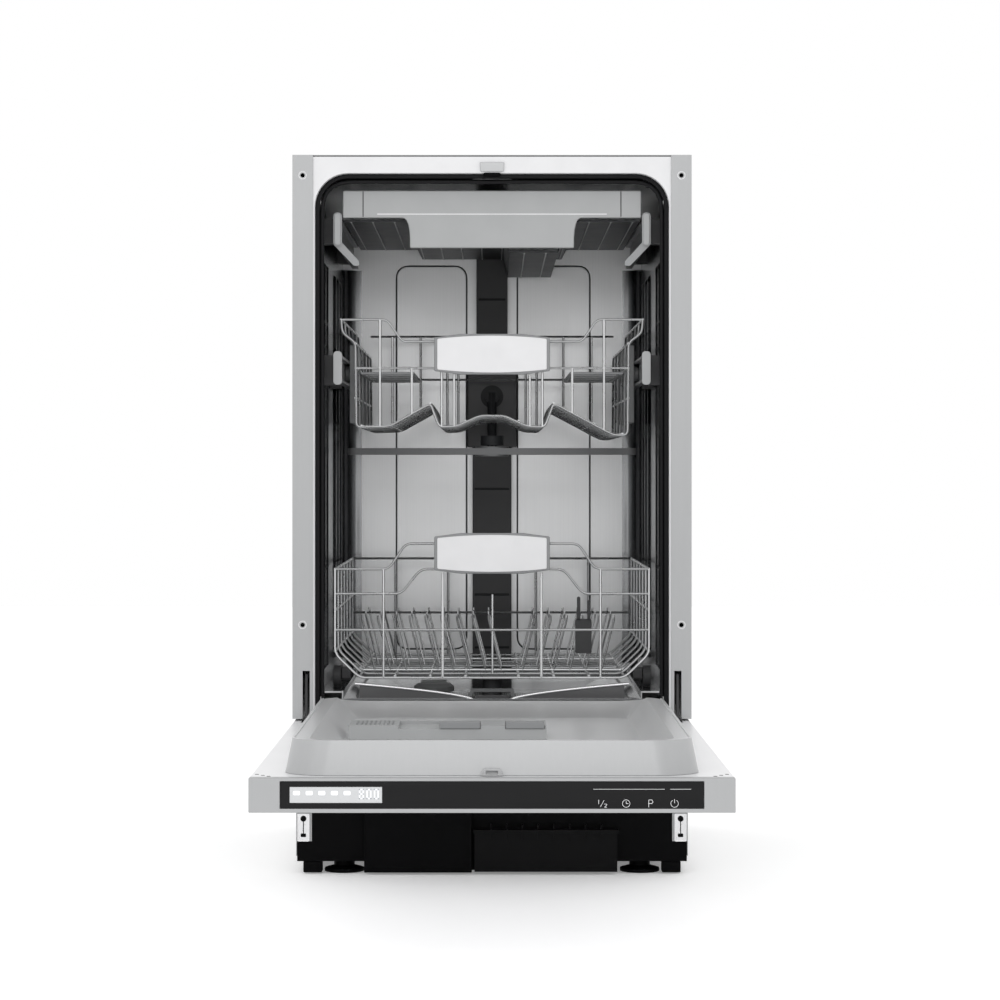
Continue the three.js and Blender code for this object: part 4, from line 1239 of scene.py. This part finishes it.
@dataclass
class Door:
    """The open door, with its liner, dispenser, strike and control strip."""

    hinge_y: float = -7.0
    hinge_z: float = 177.0
    glass_front: float = -645.0
    sign_height: float = 0.1

    def here(self, x: float, y: float, z: float) -> Point:
        """A point given from the hinge line, in millimetres."""
        return at(x, y + self.hinge_y, z + self.hinge_z)

    def build(self) -> None:
        """Dresses the door."""
        place(refine("door_outer_panel", 0.0006), "door", "painted_steel", DOOR_EDGE)
        liner = place(refine("door_liner", 0.0024, 4), "door", "stainless", LINER)
        # Faces near the door's free end that turn to the front get a darker copy of the liner steel, as
        # painted shade.
        front = at(0, self.glass_front + 65, 0)[1]
        dress_faces(liner, LINER_END_SHADE, lambda mid, normal: (
            mid.y < front and normal.y < -0.25 and normal.z < 0.9))
        place(refine("control_fascia", 0.0008), "door", "grey_plastic", PANEL)
        glass = place(refine("control_glass", 0.0003), "door", "black_glass", GLASS)
        face = at(0, self.glass_front + self.sign_height / 2, 0)[1]
        for vertex in glass.data.vertices:
            if vertex.co.y < face:
                vertex.co.y += self.sign_height * MM
        place(refine("door_strike", 0.0006), "door", "stainless", LIGHT_GREY_STEEL)
        for side, _sign in SIDES:
            place(refine(f"{side}_hinge_arm", 0.0005), "door", "stainless", DARK)
        board = refine("display_board", 0.0002)
        place(board, "door", "circuit_board", LCD)
        self.dispenser()
        self.display()
        self.icons()
        self.slots()

    def dispenser(self) -> None:
        """Dresses the dispenser and adds its raised parts."""
        place(refine("dispenser_housing", 0.0012, 3), "door", "grey_plastic", LIGHT_GREY)
        place(refine("detergent_lid", 0.0008, 3), "detergent_lid", "grey_plastic", GREY)
        place(refine("rinse_aid_lid", 0.0008, 3), "rinse_aid_lid", "grey_plastic", GREY)
        for name, x0, x1 in (("detergent", -53, -12), ("rinse_aid", 14, 53)):
            low, high = self.here(x0 + 0.3, -331.8, 23), self.here(x1 - 0.3, -329.5, 28.4)
            lip = slab(f"{name}_lid_lip", low, high, 0.0008)
            place(soften(lip, 0.0003), f"{name}_lid", "grey_plastic", LIGHT_GREY)
        grille = []
        for step in range(9):
            x = -138 + step * 4.5
            grille.append(slab("rib", self.here(x, -318, 25.7), self.here(x + 2, -278, 26.6), 0.0008))
        place(soften(join("dispenser_ribs", grille), 0.0003), "door", "grey_plastic", GREY)

    def display(self) -> None:
        """Lays the display's digits and its row of small signs, which carry a painted glow."""
        front = self.glass_front - 0.05
        pieces = []
        for column, lit in enumerate(("abcdefg", "abcdef", "abcdef")):
            pieces += self.digit(-121 + column * 6.8, 161.4, front, lit)
        for column in range(5):
            x = -181 + column * 11.5
            sign = slab("sign", at(x, front + 0.3, 165), at(x + 6.5, front + 0.7, 169), 0.0012, "y")
            pieces.append(sign)
        place(smooth(join("display_digits", pieces)), "door", "black_glass", LCD_DIGIT)

    @staticmethod
    def digit(x: float, z: float, y: float, lit: str) -> list[bpy.types.Object]:
        """Builds one seven-segment digit.

        Args:
            x: Its left side.
            z: Its foot.
            y: The plane it lies in.
            lit: Names of its lit segments.

        Returns:
            One bar for each segment.
        """
        w, h, t = 4.6, 9.4, 1.3
        spots = {
            "a": (0, h - t, w, h), "d": (0, 0, w, t), "g": (0, (h - t) / 2, w, (h + t) / 2),
            "b": (w - t, h / 2, w, h), "c": (w - t, 0, w, h / 2),
            "e": (0, 0, t, h / 2), "f": (0, h / 2, t, h),
        }
        return [
            slab("bar", at(x + spots[s][0], y + 0.3, z + spots[s][1]),
                 at(x + spots[s][2], y + 0.7, z + spots[s][3]), 0.0003, "y") for s in lit]

    def icons(self) -> None:
        """Prints the four touch signs and the two status lines on the glass."""
        y = self.glass_front + 0.29
        z = 157.5
        rings = [
            [at(x + 3.4 * math.cos(a), y, z + 3.4 * math.sin(a)) for a in self.arc(start, end)]
            for x, start, end in ((122, 0, 360), (166, 120, 420))]
        strokes = [
            [at(122, y, z + 2.2), at(122, y, z), at(124, y, z)],
            [at(166, y, z + 3.9), at(166, y, z + 0.4)],
            [at(142.5, y, z - 3.4), at(142.5, y, z + 3.3), at(145.4, y, z + 3.3), at(146.4, y, z + 1.6),
             at(145.4, y, z), at(142.5, y, z)],
            [at(98.6, y, z - 3), at(102, y, z + 3.2)],
            [at(97, y, z + 3.4), at(97, y, z - 0.4)],
            [at(102, y, z - 0.5), at(104.4, y, z - 0.5), at(104.2, y, z - 1.6), at(102.2, y, z - 3.4),
             at(104.6, y, z - 3.4)],
        ]
        shallow = y - 0.12
        lines = [
            [at(92, shallow, 170.5), at(157, shallow, 170.5)],
            [at(162, shallow, 170.5), at(181, shallow, 170.5)],
        ]
        marks = wires("control_signs", rings + strokes, 0.00028, 0.0004)
        place(marks, "door", "black_glass", MARKS)
        place(wires("status_lines", lines, 0.00016, 0.0004), "door", "black_glass", MARKS)

    @staticmethod
    def arc(start: float, end: float, steps: int = 24) -> list[float]:
        """Angles in radians from one to another, both in degrees."""
        return [math.radians(start + (end - start) * step / steps) for step in range(steps + 1)]

    def slots(self) -> None:
        """Adds the small slots at the front corners of the outer door's top."""
        for side, sign in SIDES:
            slots = []
            for step in range(3):
                x0, x1 = sorted((sign * (203 + step * 6), sign * (206.5 + step * 6)))
                slots.append(slab("slot", self.here(x0, -618 + step * 9, 3.0),
                                  self.here(x1, -613.5 + step * 9, 3.15), 0.001))
            place(smooth(join(f"{side}_panel_slots", slots)), "door", "painted_steel", DARK)


@dataclass
class Rack:
    """What both wire baskets share: places, sizes and the handle."""

    front: float = 36.0
    depth: float = 436.0
    wire: float = 1.5
    thin: float = 1.15

    def build_handle(self, node: str, body: str, z: float) -> None:
        """Replaces a handle with a framed, crowned plate.

        Args:
            node: The CAD handle.
            body: The body it rides on.
            z: The height of its middle.
        """
        place(refine(node, 0.0012, 3), body, "white_plastic", GREY)
        w, h, crown = 62.0, 17.4, 3.6
        low, high = at(-w, self.front - 8.2, z - h), at(w, self.front - 6.6, z + h)
        face = slab(f"{node}_face", low, high, 0.0016, "y")
        with Editing(face) as edit:
            for x in range(-50, 60, 10):
                edit.slice(at(x, 0, 0), (1, 0, 0))
        for vertex in face.data.vertices:
            reach = 1 - (vertex.co.x / mm(w)[0]) ** 2
            vertex.co.z += math.copysign(crown * MM * max(0.0, reach), vertex.co.z - z * MM)
            vertex.co.y -= 0.0006 * max(0.0, reach)
        place(soften(face, 0.0007, 3), body, "white_plastic", HANDLE_WHITE)


@dataclass
class LowerRack(Rack):
    """The lower basket with its leaning tines and rollers."""

    floor: float = 226.0
    half: float = 178.0
    rim: float = 124.0

    def p(self, x: float, y: float, z: float) -> Point:
        """A point given from the basket's front floor, in millimetres."""
        return at(x, y + self.front, z + self.floor)

    def build(self) -> None:
        """Bends the basket's wires and dresses its fittings."""
        w = self.half
        hoops = [
            [self.p(-w, y, self.rim - 1), self.p(-w, y, 27), self.p(-w + 28, y, 0), self.p(w - 28, y, 0),
             self.p(w, y, 27), self.p(w, y, self.rim - 1)]
            for y in (1.5, 74, 146, 218, 290, 362, self.depth - 1.5)]
        basket = wires("lower_basket_wires", hoops + self.lengths() + self.fronts(), 0.0016, 0.008)
        place(basket, "lower_basket", "coated_wire", WIRE, ["lower_basket_frame"])
        tines = wires("plate_tine_wires", self.tines(), 0.00125, 0.004)
        place(tines, "lower_basket", "coated_wire", WIRE, ["plate_tines"])
        self.build_handle("lower_basket_handle", "lower_basket", self.floor + 141)
        self.clip()
        self.axles()
        for node in ("front_left", "front_right", "rear_left", "rear_right"):
            self.roller(f"{node}_roller")

    def lengths(self) -> list[list[Point]]:
        """Wires that run from front to back."""
        w = self.half
        rear = self.depth - 1.5
        runs = [(sign * w, z) for sign in (-1, 1) for z in (self.rim - 1, 76, 30)]
        runs += [(x, 1.5) for x in (-150, -110, -70, -30, 30, 70, 110, 150)]
        return [[self.p(x, 1.5, z), self.p(x, rear, z)] for x, z in runs]

    def fronts(self) -> list[list[Point]]:
        """Wires that lie in the front and the rear of the basket."""
        w, top = self.half, self.rim - 1
        rear = self.depth - 1.5
        found = []
        for sign in (-1, 1):
            step = [(w, top), (117, top), (98, 152), (62, 152)]
            found.append([self.p(sign * x, 1.5, z) for x, z in step])
            second = [(w, 95), (103, 95), (81, 123), (62, 123)]
            found.append([self.p(sign * x, 1.5, z) for x, z in second])
            for x, high in ((123, top), (56, 119)):
                found.append([self.p(sign * x, 1.5, high), self.p(sign * x, 1.5, 0)])
                found.append([self.p(sign * x, rear, top), self.p(sign * x, rear, 0)])
        for y in (1.5, rear):
            found.append([self.p(-w, y, 54), self.p(w, y, 54)])
        found.append([self.p(-w, rear, top), self.p(w, rear, top)])
        return found

    def tines(self) -> list[list[Point]]:
        """Leaning plate tines in three rows."""
        found = []
        for y in (96.5, 201.5, 306.5):
            found.append([self.p(-w, y, 2.6) for w in (150, -150)])
            for step in range(9):
                x = -136 + step * 18.4
                found.append([self.p(x, y, 1), self.p(x - 15, y, 60), self.p(x - 15.5, y, 66)])
            for step in range(6):
                x = 35 + step * 18.4
                found.append([self.p(x, y, 1), self.p(x + 15, y, 60), self.p(x + 15.5, y, 66)])
        found.append([self.p(0.5, 60, 1), self.p(0.5, 60, 92)])
        return found

    def clip(self) -> None:
        """Adds the dark clip on the right tine row."""
        parts = []
        for x0, x1, z0, z1 in ((99, 103, 88, 60), (111, 114.5, 84, 60), (97, 116, 62, 22)):
            parts.append(slab("clip", self.p(x0, 94, z1), self.p(x1, 99, z0), 0.002, "y"))
        place(soften(join("tine_clip", parts), 0.0006), "lower_basket", "dark_plastic", DARK)

    def axles(self) -> None:
        """Adds the carriers that hold the rollers to the basket."""
        parts = []
        for sign in (-1, 1):
            for y in (64, 372):
                inner, outer = sorted((sign * 163, sign * 173.4))
                parts.append(slab("carrier", self.p(inner, y - 9, -6), self.p(outer, y + 9, 8), 0.003, "x"))
        place(soften(join("roller_carriers", parts), 0.001), "lower_basket", "dark_plastic", DARK)

    @staticmethod
    def roller(node: str) -> None:
        """Replaces a roller with a turned wheel that has a hub and a dished face.

        Args:
            node: The CAD roller.
        """
        box = Box.of(node)
        wheel = drum(f"{node}_wheel", box.mid, box.size.z / 2, box.size.x, "x", 40)
        with Editing(wheel) as edit:
            for sign in (-1, 1):
                edit.faces(lambda _mid, normal: normal.x * sign > 0.9)
                edit.inset(0.0025)
                edit.move((-sign * 0.0018, 0, 0))
                edit.inset(0.0045)
                edit.move((sign * 0.0014, 0, 0))
        place(soften(wheel, 0.0005), node, "grey_plastic", DARK, [node])


@dataclass
class UpperRack(Rack):
    """The upper basket, its cup shelves, height adjusters, rails and feed pipe."""

    floor: float = 510.0
    half: float = 155.0
    rim: float = 123.0

    def p(self, x: float, y: float, z: float) -> Point:
        """A point given from the basket's front floor, in millimetres."""
        return at(x, y + self.front, z + self.floor)

    def profile(self, x: float) -> float:
        """The stepped floor's height at one place across the basket.

        Args:
            x: Millimetres from the middle.

        Returns:
            The height above the basket's floor, in millimetres.
        """
        knots = ((0, 15), (14, 13), (40, 1), (60, 0), (69.5, 26), (75, 24), (116, 1), (154, 0))
        if x > 0:
            knots = knots[:5] + ((75, 24.5), (138, -9), (154, -9))
        reach = abs(x)
        for (x0, z0), (x1, z1) in zip(knots, knots[1:]):
            if reach <= x1:
                return z0 + (z1 - z0) * (reach - x0) / (x1 - x0)
        return knots[-1][1]

    def build(self) -> None:
        """Bends the basket's wires and dresses its fittings."""
        w, top, rear = self.half, self.rim - 1, self.depth - 1.5
        left = [(x, self.profile(x)) for x in (-154, -116, -75, -69.5, -60, -40, -14)]
        right = [(x, self.profile(x)) for x in (14, 40, 60, 69.5, 75, 138, 154)]
        rim = w + 16
        hoop = [(-rim, top), (-rim + 1, 107), (-w, 96), *left, *right, (w, 96), (rim - 1, 107), (rim, top)]
        hoops = [[self.p(x, y, z) for x, z in hoop] for y in (1.5, 88, 175, 262, 349, rear)]
        body = wires("upper_basket_wires", hoops + self.lengths() + self.fronts(), 0.0015, 0.006)
        place(body, "upper_basket", "coated_wire", WIRE, ["upper_basket_frame"])
        place(wires("upper_basket_floor_strips", self.strips(), 0.0009, 0.004, 0), "upper_basket",
              "coated_wire", WIRE)
        self.build_handle("upper_basket_handle", "upper_basket", self.floor + 82.5)
        place(refine("upper_feed_pipe", 0.0012, 3), "upper_basket", "dark_plastic", TRAY_DARK)
        for side, _sign in SIDES:
            place(refine(f"{side}_cup_shelf", 0.0008), f"{side}_cup_shelf", "grey_plastic", GREY)
            place(refine(f"{side}_height_adjuster", 0.001), "upper_carriage", "grey_plastic", RAIL_GREY)
            place(refine(f"{side}_upper_rail", 0.0009, 3), f"{side}_upper_rail", "rail_grey", LIGHT_GREY)

    def lengths(self) -> list[list[Point]]:
        """Wires that run from front to back."""
        w, rear = self.half, self.depth - 1.5
        runs = [(sign * (w + 16), self.rim - 1) for sign in (-1, 1)]
        runs += [(sign * w, z) for sign in (-1, 1) for z in (95, 67, 33)]
        runs += [(x, self.profile(x) + 1.4) for x in (-148, -116, -70, -30, 30, 70, 116, 148)]
        return [[self.p(x, 1.5, z), self.p(x, rear, z)] for x, z in runs]

    def fronts(self) -> list[list[Point]]:
        """Wires that lie in the front and the rear of the basket."""
        w, top, rear = self.half, self.rim - 1, self.depth - 1.5
        found = []
        for sign in (-1, 1):
            rim = ((w + 16, top), (119, top), (102, 97), (62, 97))
            found.append([self.p(sign * x, 1.5, z) for x, z in rim])
            for x, high in ((127, top), (91, 67), (57, 67), (43, 67)):
                low = self.profile(sign * x)
                found.append([self.p(sign * x, 1.5, high), self.p(sign * x, 1.5, low)])
                found.append([self.p(sign * x, rear, top), self.p(sign * x, rear, low)])
            found.append([self.p(sign * w, 1.5, 67), self.p(sign * 62, 1.5, 67)])
        found.append([self.p(-w, rear, top), self.p(w, rear, top)])
        found.append([self.p(-w, rear, 67), self.p(w, rear, 67)])
        return found

    def strips(self) -> list[list[Point]]:
        """The fine, close wires of the sloping floor."""
        rear = self.depth - 3
        found = []
        for sign in (-1, 1):
            for step in range(25):
                x = sign * (72 + step * 3.2)
                z = self.profile(x) + 1.2
                found.append([self.p(x, 2, z), self.p(x, rear, z)])
        return found


@dataclass
class CutleryTray:
    """The cutlery tray under the tub's roof."""

    front: float = 36.0
    floor: float = 744.0
    half: float = 168.0
    steps: tuple[float, ...] = (-95.0, -89.0, 14.0, 20.0, 75.0, 81.0, 89.0, 95.0)
    rib_pitch: float = 24.6

    def p(self, x: float, y: float, z: float) -> Point:
        """A point given from the tray's front floor, in millimetres."""
        return at(x, y + self.front, z + self.floor)

    def build(self) -> None:
        """Dresses the tray and adds its ribs."""
        self.sheet()
        place(refine("cutlery_tray_front", 0.0016, 3), "cutlery_tray", "grey_plastic", LIGHT_GREY)
        self.ribs()
        self.seams()

    def height(self, x: float) -> float:
        """The tray's floor height at one place across it.

        Args:
            x: Millimetres from the middle.

        Returns:
            The height above the tray's floor, in millimetres.
        """
        knots = ((-168, 0), (-95, 0), (-89, -12), (14, -12), (20, -35), (75, -35), (81, -12), (89, -12),
                 (95, 0), (168, 0))
        for (x0, z0), (x1, z1) in zip(knots, knots[1:]):
            if x <= x1:
                return z0 + (z1 - z0) * (x - x0) / (x1 - x0)
        return 0.0

    def sheet(self) -> None:
        """Forms the tray's floor, which steps down to its trough."""
        floor = block("cutlery_tray_floor", self.p(-self.half, 4.6, -0.9), self.p(self.half, 439.5, 0.9))
        with Editing(floor) as edit:
            for x in self.steps:
                edit.slice(self.p(x, 0, 0), (1, 0, 0))
        for vertex in floor.data.vertices:
            vertex.co.z += self.height(vertex.co.x / MM) * MM
        place(soften(floor, 0.0004, 2, 20), "cutlery_tray", "dark_plastic", TRAY_DARK, ["cutlery_tray"])

    def ribs(self) -> None:
        """Lays the fine light ribs that run from front to back."""
        places = [-160 + step * self.rib_pitch for step in range(14)]
        along = [
            [self.p(x, 6, self.height(x) - 1.2), self.p(x, 436, self.height(x) - 1.2)] for x in places]
        place(wires("tray_ribs", along, 0.0008, 0.002), "cutlery_tray", "rail_grey", LIGHT_GREY)

    def seams(self) -> None:
        """Presses the two upright seams into the front."""
        seams = []
        for sign in (-1, 1):
            low, high = self.p(sign * 146 - 0.6, -4.15, 4), self.p(sign * 146 + 0.6, -3.9, 33)
            seams.append(slab("seam", low, high, 0.0002, "y"))
        place(smooth(join("tray_front_seams", seams)), "cutlery_tray", "grey_plastic", DARK)
        # A thin light strip along the front's crease, a painted highlight.
        highlight_line = slab("tray_front_highlight_line", self.p(-130, -4.15, 6.6), self.p(130, -3.9, 7.8), 0.0003, "y")
        place(smooth(highlight_line), "cutlery_tray", "grey_plastic", HANDLE_WHITE)


@dataclass
class SprayArms:
    """The lower and the middle spray arm."""

    def build(self) -> None:
        """Dresses the arms and adds their nozzles."""
        for node in ("lower_spray_arm", "middle_spray_arm"):
            place(refine(node, 0.0012, 3), node, "arm_plastic", ARM_GREY)
            self.nozzles(node)

    @staticmethod
    def nozzles(node: str) -> None:
        """Adds the small raised rims of the water holes along the arm's top.

        Args:
            node: The CAD arm, whose body has the same name.
        """
        box = Box.of(node)
        rims = []
        for sign in (-1, 1):
            for step in range(5):
                x = sign * (0.045 + step * 0.024)
                top = box.lo.z + 0.0082
                rim = drum("rim", (x, box.mid.y, top), 0.0026, 0.0008, "z", 20)
                with Editing(rim) as edit:
                    edit.faces(lambda _mid, normal: normal.z > 0.9)
                    edit.inset(0.001)
                    edit.move((0, 0, -0.0006))
                rims.append(rim)
        place(smooth(join(f"{node}_nozzles", rims)), node, "arm_plastic", TRAY_DARK)


def main() -> None:
    """Builds the studio and every sub-assembly in turn."""
    logging.basicConfig(level=logging.INFO, format="%(name)s: %(message)s")
    for part in (Studio(), Cabinet(), Tub(), Base(), Door(), LowerRack(), UpperRack(), CutleryTray(),
                 SprayArms()):
        LOG.info("building the %s", type(part).__name__)
        part.build()


if __name__ == "__main__":
    main()
